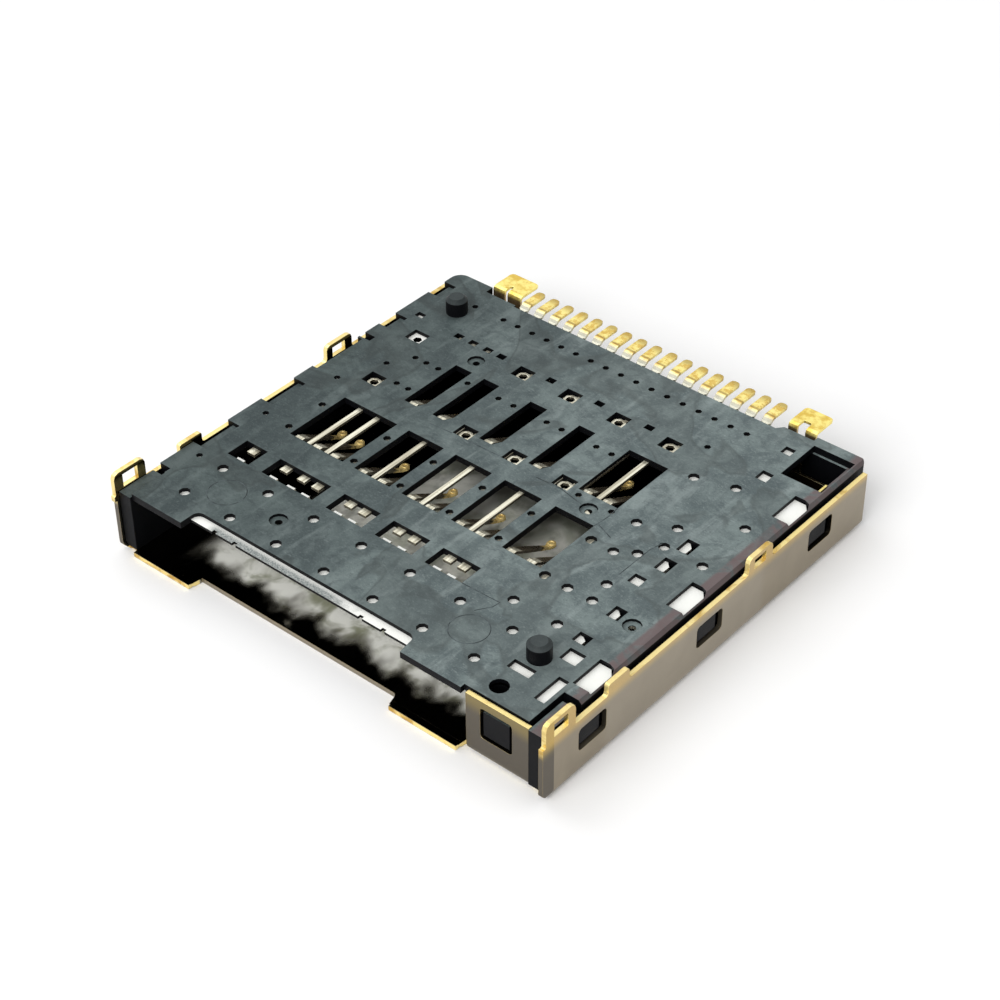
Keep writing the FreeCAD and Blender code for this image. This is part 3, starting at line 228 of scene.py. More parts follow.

# Painted shade makes it darker towards the left front corner; it is browner on the right rail and dark on
# top of the pegs
from_corner = maths(tree, "MULTIPLY_ADD", clouds, 5.0, maths(tree, "SUBTRACT", part["X"], 2.5))
from_corner = maths(tree, "MULTIPLY_ADD", part["Y"], 0.22, from_corner)
corner_light = blend_colour(tree, step_up(tree, from_corner, *CORNER_REACH), CORNER_SHADE, NO_SHADE)
skin = blend_colour(tree, 1.0, skin, corner_light, way="MULTIPLY")
rail = all_of(tree, step_up(tree, part["X"], *RAIL_START), step_up(tree, blotches, 0.30, 0.55))
skin = tint(tree, skin, RAIL_BROWN, rail, 0.85)
skin = tint(tree, skin, PEG_GREY, above(tree, part["Z"], PEG_FOOT), 0.80)

# The skin lies on the upper faces only; the upright faces are the black resin with painted shade over it.
# All edges are scuffed, least on the upright faces
flat_top = all_of(tree, step_up(tree, facing["Z"], 0.4, 0.9), step_up(tree, part["Z"], *SKIN_HEIGHT))
side = blend_colour(tree, blotches, SIDE_SHADE_BLACK, SIDE_SHADE_DARK)
resin = blend_colour(tree, flat_top, side, skin)
scuff_share = maths(tree, "MULTIPLY_ADD", flat_top, 0.26, 0.06)
scuffed = all_of(tree, edge["Edge"], step_up(tree, blotches, 0.46, 0.66), scuff_share)
resin = tint(tree, resin, SCUFF_PALE, scuffed)
shine = maths(tree, "MULTIPLY_ADD", clouds, 0.24, 0.38)
shine = maths(tree, "MULTIPLY_ADD", dried_patch, -0.06, shine)
relief = maths(tree, "MULTIPLY_ADD", grain, 0.5, maths(tree, "MULTIPLY", fibres, 0.8))
finish(tree, shader, resin, shine, relief, strength=0.5, depth=0.012, normal=edge["Normal"])
dress(plastic, "base_housing")

# Marks that the mould leaves on the plate: the rings of two ejector pins at the front, and the lines
# where the mould's inserts met. Each is a shallow step in the resin, dark because its foot is in shade.

PLATE_FACE = 3.70
MARK_WIDTH = 0.045
MARK_HEIGHT = 0.012
PIN_MARKS = [(-9.17, -10.15), (6.41, -10.13)]
PIN_MARK_RADIUS = 0.98
PIN_MARK_CORNERS = 72
INSERT_LINES = [
    [(4.05, -7.92), (6.30, -7.86), (6.24, -8.30), (5.75, -9.02)],
    [(6.15, -0.72), (6.24, 0.20), (6.19, 1.05)],
    [(6.24, -0.50), (7.30, -0.92)],
    [(1.62, 0.42), (3.10, 0.50), (4.70, 0.16)],
    [(-5.40, 0.40), (-3.95, 0.50)],
    [(-2.95, 0.52), (-0.75, 0.58)],
    [(9.27, -2.80), (9.27, -0.45), (9.45, 0.30)],
    [(-9.95, -5.55), (-9.95, -6.50)],
]
MARK_GLOSS = 0.12
MARK_DARK = seen(56, 62, 64)
MARK_PALE = seen(90, 99, 101)


def shape_tree(name, sizes):
    """An empty geometry tree with one number input for each named size."""
    tree = bpy.data.node_groups.new(name, "GeometryNodeTree")
    tree.interface.new_socket("Geometry", in_out="INPUT", socket_type="NodeSocketGeometry")
    tree.interface.new_socket("Geometry", in_out="OUTPUT", socket_type="NodeSocketGeometry")
    for label in sizes:
        tree.interface.new_socket(label, in_out="INPUT", socket_type="NodeSocketFloat")
    return tree, tree.nodes.new("NodeGroupInput").outputs, tree.nodes.new("NodeGroupOutput").inputs


def circle(tree, radius, corners):
    sockets = {"Resolution": corners, "Radius": radius}
    return put(tree, "GeometryNodeCurvePrimitiveCircle", sockets).outputs[0]


def swept(tree, path, section, capped=False):
    """A body with this section all along a path; the ends of an open path are capped."""
    sockets = {"Curve": path, "Profile Curve": section, "Fill Caps": capped}
    return put(tree, "GeometryNodeCurveToMesh", sockets).outputs[0]


def repeated(tree, points, shape):
    return put(tree, "GeometryNodeInstanceOnPoints", {"Points": points, "Instance": shape}).outputs[0]


def joined(tree, *shapes):
    whole = tree.nodes.new("GeometryNodeJoinGeometry")
    for shape in shapes:
        tree.links.new(shape, whole.inputs[0])
    return whole.outputs[0]


def end_tree(tree, shape, material, outs):
    """Make real meshes of all copies, coat them with the material and put them out."""
    solid = put(tree, "GeometryNodeRealizeInstances", {0: shape})
    coated = put(tree, "GeometryNodeSetMaterial", {"Geometry": solid.outputs[0], "Material": material})
    tree.links.new(coated.outputs[0], outs[0])


def grow(name, tree, sizes, points=(), lines=()):
    """Run a geometry tree on a mesh of loose points or lines in metres, and keep a plain mesh."""
    start = bpy.data.meshes.new(name)
    start.from_pydata([tuple(point) for point in points], list(lines), [])
    piece = bpy.data.objects.new(name, start)
    bpy.context.scene.collection.objects.link(piece)
    modifier = piece.modifiers.new("shape", "NODES")
    modifier.node_group = tree
    for socket in tree.interface.items_tree:
        if socket.in_out == "INPUT" and socket.name in sizes:
            modifier[socket.identifier] = sizes[socket.name]
    bpy.context.view_layer.update()
    evaluated = piece.evaluated_get(bpy.context.evaluated_depsgraph_get())
    mesh = bpy.data.meshes.new_from_object(evaluated)
    piece.modifiers.remove(modifier)
    piece.data = mesh
    return piece


shade, tree, shader = new_material("mark_shade")
shader.inputs["Specular IOR Level"].default_value = MARK_GLOSS
point, part = place_mm(tree)
wear = cloud(tree, point, 1.6, detail=4)
grain = cloud(tree, point, 20.0)
colour = blend_colour(tree, step_up(tree, wear, 0.40, 0.62), MARK_DARK, MARK_PALE)
finish(tree, shader, colour, maths(tree, "MULTIPLY_ADD", wear, 0.2, 0.6), grain, depth=0.004)

mark_sizes = {"Ring radius": PIN_MARK_RADIUS * MM, "Width": MARK_WIDTH * MM, "Height": MARK_HEIGHT * MM}
tree, ins, outs = shape_tree("mould_mark_shape", mark_sizes)
step_sockets = {"Width": ins["Width"], "Height": ins["Height"]}
step = put(tree, "GeometryNodeCurvePrimitiveQuadrilateral", step_sockets).outputs[0]
line = put(tree, "GeometryNodeMeshToCurve", {"Mesh": ins["Geometry"]}).outputs[0]
line_body = swept(tree, line, step, capped=True)
ring_body = swept(tree, circle(tree, ins["Ring radius"], PIN_MARK_CORNERS), step)
first_pin, second_pin = (Vector((x, y, PLATE_FACE)) * MM for x, y in PIN_MARKS)
pin_sockets = {"Count": 2, "Start Location": first_pin, "Offset": second_pin}
pins = put(tree, "GeometryNodeMeshLine", pin_sockets, mode="END_POINTS").outputs[0]
end_tree(tree, joined(tree, repeated(tree, pins, ring_body), line_body), shade, outs)

line_points = [Vector((x, y, PLATE_FACE)) * MM for route in INSERT_LINES for x, y in route]
line_edges = []
first = 0
for route in INSERT_LINES:
    line_edges += [(first + step_on, first + step_on + 1) for step_on in range(len(route) - 1)]
    first += len(route)
mould_marks = grow("mould_marks", tree, mark_sizes, line_points, line_edges)
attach(mould_marks, "housing")

# Shell: one sheet of nickel-plated copper alloy, 0.25 mm thick, blanked and folded up at both sides
# and at the front flap. The faces are satin warm grey outside; inside they carry painted reflection
# and painted shade. The blanked edges show the gold-coloured alloy, and the solder tabs are gold plated.

WALL_FACE = 13.40
TAB_SIDE = 13.2
TAB_GILT = (2.77, 3.47)
FLAP_FACE = -12.99
FOLD_TOP = 0.55
FLOOR_TOP = 0.251
FLOOR_LIMIT = 0.5
FLOOR_TRIM = -12.95
CORNER_TRIM = -13.3
CORNER_HEIGHT = (3.4, 2.6)
FLAP_TOP = (2.5, 3.4)
REVEAL_HEIGHT = (2.70, 2.90)
INSIDE_SHADE_DEPTH = (-9.0, -7.0)
CLEAR_FRONT = (-9.9, -8.9)
CLEAR_REAR = (3.0, 2.3)
CLEAR_LEFT = (-6.5, -5.5)
CLEAR_WIDENS = (-2.3, -3.0)
WIDER_BY = 2.6
REAR_SHADE_START = (0.3, 2.1)
WINDOW_SEEN = -5.31
WINDOW_PITCH = 3.2
WINDOW_SHADE = (0.48, 0.12)
SHADE_FRONT = (-2.4, -1.6)
SHADE_LEFT = (-5.6, -1.2)
MOUTH_LINE = (-10.6, -9.2)
MOUTH_LINE_BENDS = (-3.0, -9.5)
MOUTH_LEFT = (-10.8, -9.4)
MOUTH_REAR = (-8.9, -9.9)
NICKEL_DARK = seen(132, 123, 108)
NICKEL_PALE = seen(152, 142, 124)
NICKEL_STREAK = seen(186, 177, 158)
FLAP_SHADE_GREY = seen(88, 83, 76)
FLAP_WARM = seen(170, 150, 88)
INSIDE_GREY = seen(132, 128, 114)
INSIDE_BROWN_PATCH = seen(96, 80, 52)
INSIDE_DEEP_SHADE = seen(52, 50, 44)
REFLECTION_DIM = seen(206, 210, 194)
REFLECTION_WHITE = seen(255, 255, 246)
REAR_SHADE = seen(58, 60, 50)
RAGGED_REFLECTION_DARK = seen(78, 80, 66)
WINDOW_SHADE_DARK = seen(44, 42, 32)
MOUTH_REFLECTION_DIM = seen(158, 160, 136)
GOLD_DARK = seen(198, 158, 82)
GOLD_PALE = seen(236, 202, 118)
ALLOY_DARK = seen(234, 204, 120)
ALLOY_PALE = seen(255, 242, 180)
ALLOY_STAIN = seen(200, 164, 84)
REVEAL_DARK = seen(84, 78, 66)
WORN_ALLOY = seen(232, 206, 140)


def any_of(tree, first, *others):
    """The greatest of masks: 1 where any of them is."""
    whole = first
    for mask in others:
        whole = maths(tree, "MAXIMUM", whole, mask)
    return whole


def below(tree, value, limit):
    return maths(tree, "LESS_THAN", value, limit)


def blend_value(tree, factor, first, second):
    return put(tree, "ShaderNodeMix", {0: factor, 2: first, 3: second}).outputs[0]


sheet, tree, shader = new_material("shell_sheet", metallic=1.0)
point, part = place_mm(tree)
facing = face_direction(tree)
edge = edge_wear(tree, 0.03)
stain = cloud(tree, point, 0.55, detail=5, distortion=0.8)
streaks = cloud(tree, point, 3.0, detail=4, stretch=(6.0, 0.10, 6.0))
speck = cloud(tree, point, 18.0, detail=3, roughness=0.7)
ragged = cloud(tree, point, 0.9, detail=3, stretch=(1.0, 0.7, 1.0), turn=35, roughness=0.5)
dappled = cloud(tree, point, 0.75, detail=2, stretch=(1.0, 0.6, 1.0), roughness=0.5)
glints = cloud(tree, point, 0.75, detail=3, turn=35, roughness=0.5, distortion=0.4)

# Blanked edges: those of the walls, apart from their front ends, of the flap and of the floor's front
off_middle = maths(tree, "ABSOLUTE", part["X"])
above_fold = above(tree, part["Z"], FOLD_TOP)
in_flap = below(tree, part["Y"], FLAP_FACE)
off_wall_face = below(tree, maths(tree, "ABSOLUTE", facing["X"]), 0.7)
off_flap_face = below(tree, maths(tree, "ABSOLUTE", facing["Y"]), 0.7)
off_floor_face = below(tree, maths(tree, "ABSOLUTE", facing["Z"]), 0.6)
looks_forward = all_of(tree, below(tree, facing["Y"], -0.5), below(tree, part["Y"], CORNER_TRIM))
front_end = all_of(tree, looks_forward, step_up(tree, part["Z"], *CORNER_HEIGHT))
elsewhere = maths(tree, "SUBTRACT", 1.0, front_end)
wall_edge = all_of(tree, off_wall_face, above(tree, off_middle, WALL_FACE), above_fold, elsewhere)
flap_edge = all_of(tree, off_flap_face, in_flap, above_fold, below(tree, off_middle, TAB_SIDE))
floor_front = all_of(tree, below(tree, part["Z"], FLOOR_TOP), below(tree, part["Y"], FLOOR_TRIM))
floor_edge = all_of(tree, floor_front, off_floor_face)
folded_edge = any_of(tree, wall_edge, flap_edge)

# Outside: streaky satin nickel, painted darker on the flap as shade, and warm along the flap's top
nickel = blend_colour(tree, stain, NICKEL_DARK, NICKEL_PALE)
nickel = tint(tree, nickel, NICKEL_STREAK, streaks, 0.20)
nickel = tint(tree, nickel, FLAP_SHADE_GREY, in_flap, 0.85)
flap_top = all_of(tree, step_up(tree, part["Z"], *FLAP_TOP), in_flap, above_fold)
nickel = tint(tree, nickel, FLAP_WARM, flap_top, 0.45)

# Inside of the shell: grey with brown patches near the mouth, and painted nearly black as shade behind it
painted_inside = tint(tree, INSIDE_GREY, INSIDE_BROWN_PATCH, step_up(tree, ragged, 0.55, 0.75), 0.5)
painted_inside = tint(tree, painted_inside, INSIDE_DEEP_SHADE, step_up(tree, part["Y"], *INSIDE_SHADE_DEPTH))

# Floor under the middle windows: painted reflection of the light through the windows, white and dim in
# turn, with ragged dark patches in it, painted shade towards the rear and beside the wall of each window
swayed = maths(tree, "MULTIPLY_ADD", dappled, 2.0, -1.0)
left_limit = maths(tree, "ADD", part["X"], swayed)
left_limit = maths(tree, "MULTIPLY_ADD", step_up(tree, part["Y"], *CLEAR_WIDENS), WIDER_BY, left_limit)
# The clear mask is where the floor is painted lit by the windows
clear = all_of(tree, step_up(tree, part["Y"], *CLEAR_FRONT), step_up(tree, part["Y"], *CLEAR_REAR))
clear = all_of(tree, clear, step_up(tree, left_limit, *CLEAR_LEFT))
painted_window_floor = blend_colour(tree, step_up(tree, stain, 0.36, 0.62), REFLECTION_DIM, REFLECTION_WHITE)
painted_rear_shade = step_up(tree, maths(tree, "ADD", part["Y"], swayed), *REAR_SHADE_START)
painted_window_floor = tint(tree, painted_window_floor, REAR_SHADE, painted_rear_shade, 0.85)
painted_window_floor = tint(tree, painted_window_floor, RAGGED_REFLECTION_DARK, step_up(tree, ragged, 0.48, 0.66), 0.50)
from_window = maths(tree, "SUBTRACT", part["X"], WINDOW_SEEN)
across_window = maths(tree, "FRACT", maths(tree, "DIVIDE", from_window, WINDOW_PITCH))
shaded_corner = all_of(tree, step_up(tree, part["Y"], *SHADE_FRONT), step_up(tree, part["X"], *SHADE_LEFT))
window_shade = all_of(tree, step_up(tree, across_window, *WINDOW_SHADE), shaded_corner)
painted_window_floor = tint(tree, painted_window_floor, WINDOW_SHADE_DARK, window_shade, 0.75)

# Floor in the mouth: a rough patch painted bright as a reflection, with painted glints, behind a wavy line
# that comes forward at the left
looks_up = step_up(tree, facing["Z"], 0.5, 0.9)
mouth_line = maths(tree, "MULTIPLY_ADD", dappled, 3.0, part["Y"])
mouth_line = maths(tree, "MULTIPLY_ADD", step_up(tree, part["X"], *MOUTH_LINE_BENDS), 0.2, mouth_line)
behind_mouth_line = all_of(tree, step_up(tree, mouth_line, *MOUTH_LINE), step_up(tree, part["X"], *MOUTH_LEFT))
rough_lit_mouth_patch = all_of(tree, behind_mouth_line, step_up(tree, part["Y"], *MOUTH_REAR), looks_up)
mouth_painted_reflection = blend_colour(tree, step_up(tree, glints, 0.30, 0.56), MOUTH_REFLECTION_DIM, REFLECTION_WHITE)
bright = tint(tree, tint(tree, painted_inside, painted_window_floor, clear), mouth_painted_reflection, rough_lit_mouth_patch)
looks_inward = below(tree, maths(tree, "MULTIPLY", part["X"], facing["X"]), -0.5)
inner = any_of(tree, looks_inward, all_of(tree, below(tree, part["Z"], FLOOR_LIMIT), looks_up))
face = blend_colour(tree, inner, nickel, bright)

# Gold on the solder tabs, and bare alloy on the blanked edges. The reveals of the wall's windows,
# which are blanked edges too, lie in shade.
gold = blend_colour(tree, speck, GOLD_DARK, GOLD_PALE)
on_tab = all_of(tree, step_up(tree, part["Z"], *TAB_GILT), above(tree, off_middle, TAB_SIDE))
face = tint(tree, face, gold, on_tab, maths(tree, "MULTIPLY_ADD", stain, 0.5, 0.35))
alloy = blend_colour(tree, speck, ALLOY_DARK, ALLOY_PALE)
alloy = tint(tree, alloy, ALLOY_STAIN, step_up(tree, stain, 0.50, 0.34))
reveal = blend_colour(tree, step_up(tree, part["Z"], *REVEAL_HEIGHT), REVEAL_DARK, alloy)
metal = tint(tree, face, reveal, folded_edge)
metal = tint(tree, metal, alloy, floor_edge)
metal = tint(tree, metal, WORN_ALLOY, edge["Edge"], 0.35)

# The painted bright parts of the floor under the windows and in the mouth scatter light, so they are
# rougher and less metallic
outside_shine = maths(tree, "MULTIPLY_ADD", streaks, 0.14, 0.34)
inside_shine = maths(tree, "MULTIPLY_ADD", clear, 0.36, maths(tree, "MULTIPLY_ADD", streaks, 0.10, 0.05))
inside_shine = maths(tree, "MULTIPLY_ADD", rough_lit_mouth_patch, 0.55, inside_shine)
shine = blend_value(tree, inner, outside_shine, inside_shine)
shine = blend_value(tree, any_of(tree, folded_edge, floor_edge), shine, 0.30)
scattering = any_of(tree, rough_lit_mouth_patch, maths(tree, "MULTIPLY", clear, 0.6))
tree.links.new(maths(tree, "MULTIPLY_ADD", scattering, -0.95, 1.0), shader.inputs["Metallic"])
relief = maths(tree, "MULTIPLY_ADD", speck, 0.4, streaks)
finish(tree, shader, metal, shine, relief, strength=0.18, depth=0.006, normal=edge["Normal"])
dress(sheet, "shield_shell")

# Lips of the shell's floor: the two tongues at the mouth end in a square blanked edge, the same sheet.
# It stands a little ahead of the trimmed floor, and shows as the bright line under the card's way in.

LIP_SPANS = [(-12.63, -8.73), (4.45, 8.53)]
LIP_FRONT = -13.59
LIP_BACK = -13.20
LIP_LOW = 0.002
LIP_HIGH = 0.252

lip_points = []
lip_faces = []
for left, right in LIP_SPANS:
    first = len(lip_points)
    corners = [(left, LIP_FRONT), (right, LIP_FRONT), (right, LIP_BACK), (left, LIP_BACK)]
    lip_points += [Vector((x, y, z)) * MM for z in (LIP_LOW, LIP_HIGH) for x, y in corners]
    lip_faces += [(first + 3, first + 2, first + 1, first), (first + 4, first + 5, first + 6, first + 7)]
    for near, far in ((0, 1), (1, 2), (2, 3), (3, 0)):
        lip_faces.append((first + near, first + far, first + far + 4, first + near + 4))
lip_mesh = bpy.data.meshes.new("floor_lips")
lip_mesh.from_pydata(lip_points, [], lip_faces)
lip_mesh.materials.append(sheet)
lips = bpy.data.objects.new("floor_lips", lip_mesh)
bpy.context.scene.collection.objects.link(lips)
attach(lips, "housing")

# Ground plate: flat punched sheet, moulded into the underside of the plate. It shows in the recess of
# the card mouth, in the round holes and in the slots by the edges. Bright tin plate, dull grey and
# speckled at the left of the mouth.

MOUTH_RECESS = (-12.0, -12.35)
GREY_STRIP_RIGHT = (3.4, 1.4)
GREY_STRIP_LEFT = (-8.3, -7.6)
UNDERSIDE_SHADE_FRONT = (-7.3, -7.8)
UNDERSIDE_SHADE_LEFT = (-10.0, -11.0)
TIN_WHITE = seen(240, 242, 234)
TIN_PALE = seen(255, 255, 252)
STRIP_GREY = seen(96, 106, 106)
WORN_TIN = seen(252, 250, 238)
UNDERSIDE = seen(244, 242, 226)
UNDERSIDE_SHADE_BLACK = seen(7, 7, 8)

tin, tree, shader = new_material("ground_tin", metallic=0.1)
point, part = place_mm(tree)
facing = face_direction(tree)
edge = edge_wear(tree, 0.02)
stain = cloud(tree, point, 1.3, detail=5, roughness=0.65)
speck = cloud(tree, point, 16.0, detail=3, roughness=0.75)
grey_strip_limit = step_up(tree, maths(tree, "MULTIPLY_ADD", stain, 3.0, part["X"]), *GREY_STRIP_RIGHT)
in_recess = step_up(tree, part["Y"], *MOUTH_RECESS)
grey_strip = all_of(tree, grey_strip_limit, in_recess, step_up(tree, part["X"], *GREY_STRIP_LEFT))
speckled = maths(tree, "MULTIPLY_ADD", step_up(tree, speck, 0.40, 0.60), 0.35, 0.65)
plate = blend_colour(tree, stain, TIN_WHITE, TIN_PALE)
plate = tint(tree, plate, STRIP_GREY, grey_strip, speckled)
plate = tint(tree, plate, WORN_TIN, edge["Edge"], 0.3)

# Underneath and at its cut sides the sheet is bright metal, painted black as shade at the mouth and
# along the left side, so that the floor below mirrors it dark
underside_shade_limit = step_up(tree, maths(tree, "MULTIPLY_ADD", stain, 1.6, part["Y"]), *UNDERSIDE_SHADE_FRONT)
shaded_underside = any_of(tree, underside_shade_limit, step_up(tree, part["X"], *UNDERSIDE_SHADE_LEFT))
looks_down = step_up(tree, facing["Z"], 0.6, 0.3)
plate = tint(tree, plate, tint(tree, UNDERSIDE, UNDERSIDE_SHADE_BLACK, shaded_underside), looks_down)
tree.links.new(maths(tree, "MULTIPLY_ADD", looks_down, 0.9, 0.1), shader.inputs["Metallic"])
shine = maths(tree, "MULTIPLY_ADD", stain, 0.25, 0.30)
finish(tree, shader, plate, shine, speck, strength=0.25, depth=0.008, normal=edge["Normal"])
dress(tin, "ground_plate")

# Contacts: each is one strip of phosphor bronze from its solder tail to its spring tip, blanked and
# formed in a carrier and held by the mould. Gold plated at the tail and at the crown that touches
# the card, bright nickel with dark sheared sides on the leads; the spring arm is painted dark as shade.

TAIL_START = (11.67, 11.97)
TAIL_END = (12.95, 13.60)
CREASE_FRONT = (11.86, 11.93)
CREASE_REAR = (12.10, 12.02)
NECK_START = (10.6, 11.0)
LEAD_HEIGHT = (3.32, 3.20)
HEAD_HEIGHT = (2.32, 2.12)
LEAD_DARK = seen(188, 182, 160)
LEAD_PALE = seen(246, 243, 222)
SHEARED_DARK = seen(60, 52, 40)
ARM_SHADE_DARK = seen(66, 60, 50)
ARM_SHADE_PALE = seen(122, 112, 94)
HEAD_GOLD_DARK = seen(232, 190, 104)
HEAD_GOLD_PALE = seen(255, 238, 170)
TAIL_GOLD_DARK = seen(222, 186, 88)
TAIL_GOLD_PALE = seen(255, 240, 150)
TAIL_END_BROWN = seen(160, 130, 58)
CREASE_SHADE = seen(128, 92, 36)
NECK_DARK = seen(172, 170, 152)
NECK_PALE = seen(226, 224, 206)
WORN_STRIP = seen(252, 240, 204)

strip, tree, shader = new_material("contact_strip", metallic=0.6)
point, part = place_mm(tree)
facing = face_direction(tree)
edge = edge_wear(tree, 0.035)
stain = cloud(tree, point, 2.4, detail=4, roughness=0.65)
speck = cloud(tree, point, 22.0, detail=3, roughness=0.7)
drawn = cloud(tree, point, 3.0, detail=2, stretch=(2.4, 0.08, 2.4), roughness=0.5)
lead = blend_colour(tree, step_up(tree, drawn, 0.35, 0.65), LEAD_DARK, LEAD_PALE)
sheared = step_up(tree, maths(tree, "ABSOLUTE", facing["Z"]), 0.6, 0.4)
lead = tint(tree, lead, SHEARED_DARK, sheared, 0.85)
spring_arm_shade = blend_colour(tree, stain, ARM_SHADE_DARK, ARM_SHADE_PALE)
gilt_head = blend_colour(tree, stain, HEAD_GOLD_DARK, HEAD_GOLD_PALE)
gilt_tail = blend_colour(tree, step_up(tree, stain, 0.38, 0.62), TAIL_GOLD_DARK, TAIL_GOLD_PALE)
neck = blend_colour(tree, stain, NECK_DARK, NECK_PALE)
head = step_up(tree, part["Z"], *HEAD_HEIGHT)
ragged_end = maths(tree, "MULTIPLY_ADD", stain, 0.8, part["Y"])
crease = all_of(tree, step_up(tree, part["Y"], *CREASE_FRONT), step_up(tree, part["Y"], *CREASE_REAR))

# The lead's colour comes first, and the spring arm's painted shade, the head, the neck and the tail are
# laid over it
colour = tint(tree, lead, spring_arm_shade, step_up(tree, part["Z"], *LEAD_HEIGHT))
colour = tint(tree, colour, gilt_head, head)
colour = tint(tree, colour, neck, step_up(tree, part["Y"], *NECK_START))
colour = tint(tree, colour, gilt_tail, step_up(tree, part["Y"], *TAIL_START))
colour = tint(tree, colour, TAIL_END_BROWN, step_up(tree, ragged_end, *TAIL_END), 0.70)
# Painted shade in the crease where the tail bends down
colour = tint(tree, colour, CREASE_SHADE, crease, 0.6)
colour = tint(tree, colour, WORN_STRIP, edge["Edge"], 0.30)
shine = maths(tree, "MULTIPLY_ADD", stain, 0.20, 0.18)
relief = maths(tree, "MULTIPLY_ADD", speck, 0.3, drawn)
finish(tree, shader, colour, shine, relief, strength=0.16, depth=0.008, normal=edge["Normal"])
tree.links.new(maths(tree, "MULTIPLY_ADD", head, -0.15, 0.60), shader.inputs["Metallic"])
contact_names = [f"contact_{number:02d}" for number in range(1, 18)]
dress(strip, *contact_names)

# Crowns of the contact springs: the round head at the end of each spring is pressed into a small cup,
# whose outside slides on the card's pad. Its rim stands up round the hollow, in the same gold.

HEAD_DEPTH = 0.16 * MM
HEAD_LENGTH = 0.46 * MM
HEAD_THICKNESS = 0.15 * MM
DOME_FLATNESS = 0.55
CROWN_CORNERS = 20
CROWN_RINGS = 10
RIM_WIRE_CORNERS = 8
crown_sizes = {
    "Rim radius": 0.150 * MM,
    "Rim wire": 0.040 * MM,
    "Dome radius": 0.205 * MM,
    "Drop": 0.150 * MM,
}

tree, ins, outs = shape_tree("spring_crown_shape", crown_sizes)
rim_wire = circle(tree, ins["Rim wire"], RIM_WIRE_CORNERS)
rim = swept(tree, circle(tree, ins["Rim radius"], CROWN_CORNERS), rim_wire)
dome_sockets = {"Segments": CROWN_CORNERS, "Rings": CROWN_RINGS, "Radius": ins["Dome radius"]}
dome = put(tree, "GeometryNodeMeshUVSphere", dome_sockets).outputs[0]
flatter = {"Geometry": dome, "Scale": (1.0, 1.0, DOME_FLATNESS)}
dome = put(tree, "GeometryNodeTransform", flatter).outputs[0]
lower = put(tree, "ShaderNodeCombineXYZ", {"Z": maths(tree, "MULTIPLY", ins["Drop"], -1.0)}).outputs[0]
dome = put(tree, "GeometryNodeTransform", {"Geometry": dome, "Translation": lower}).outputs[0]
smooth = put(tree, "GeometryNodeSetShadeSmooth", {"Geometry": joined(tree, rim, dome)}).outputs[0]
end_tree(tree, repeated(tree, ins["Geometry"], smooth), strip, outs)


def spring_head(node):
    """The middle of a contact's round head, on its upper face: the head is the contact's low end."""
    points = [vertex.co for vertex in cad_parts[node].data.vertices]
    lowest = min(point.z for point in points)
    head = [point for point in points if point.z < lowest + HEAD_DEPTH]
    rear = max(point.y for point in head)
    head = [point for point in head if point.y > rear - HEAD_LENGTH]
    middle_x = (min(point.x for point in head) + max(point.x for point in head)) / 2
    return Vector((middle_x, rear - HEAD_LENGTH / 2, lowest + HEAD_THICKNESS))


heads = [spring_head(name) for name in contact_names]
crowns = grow("spring_crowns", tree, crown_sizes, heads)
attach(crowns, "housing")

# Solder anchors and the card detector: punched strips at the ends of the tail row, set in the rear
# wall. They are gold plated all over, bright on the feet, browner on the legs and painted dark as
# shade low down the legs.

FOOT_HEIGHT = (3.35, 3.60)
LEG_LOW = (3.10, 2.80)
FOOT_DARK = seen(226, 192, 84)
FOOT_PALE = seen(255, 238, 142)
FOOT_SPECK = seen(186, 152, 62)
LEG_DARK = seen(150, 118, 70)
LEG_PALE = seen(206, 186, 150)
LEG_SHADE = seen(58, 46, 28)
WORN_FOIL = seen(255, 242, 190)

foil, tree, shader = new_material("anchor_gold", metallic=0.85)
point, part = place_mm(tree)
edge = edge_wear(tree, 0.04)
stain = cloud(tree, point, 1.8, detail=5, roughness=0.6)
speck = cloud(tree, point, 20.0, detail=3, roughness=0.7)
foot = blend_colour(tree, step_up(tree, stain, 0.36, 0.60), FOOT_DARK, FOOT_PALE)
foot = tint(tree, foot, FOOT_SPECK, step_up(tree, speck, 0.62, 0.74))
leg = blend_colour(tree, stain, LEG_DARK, LEG_PALE)
colour = blend_colour(tree, step_up(tree, part["Z"], *FOOT_HEIGHT), leg, foot)
# Painted shade low down the legs, deep in the slot
colour = tint(tree, colour, LEG_SHADE, step_up(tree, part["Z"], *LEG_LOW))
colour = tint(tree, colour, WORN_FOIL, edge["Edge"], 0.5)
shine = maths(tree, "MULTIPLY_ADD", stain, 0.2, 0.22)
finish(tree, shader, colour, shine, speck, strength=0.25, depth=0.008, normal=edge["Normal"])
dress(foil, "hold_down_tab_left", "detect_fixed_contact", "detect_spring_contact")

# Slider of the ejector: a moulded block in the bay beside the card, with the heart-shaped track
# underneath and the foot that the card pushes. Black low-friction resin, polished where it runs.

GLIDE_DARK = seen(24, 25, 27)
GLIDE_PALE = seen(40, 42, 45)
GLIDE_DRAG = seen(74, 77, 80)
WORN_GLIDE = seen(98, 101, 104)

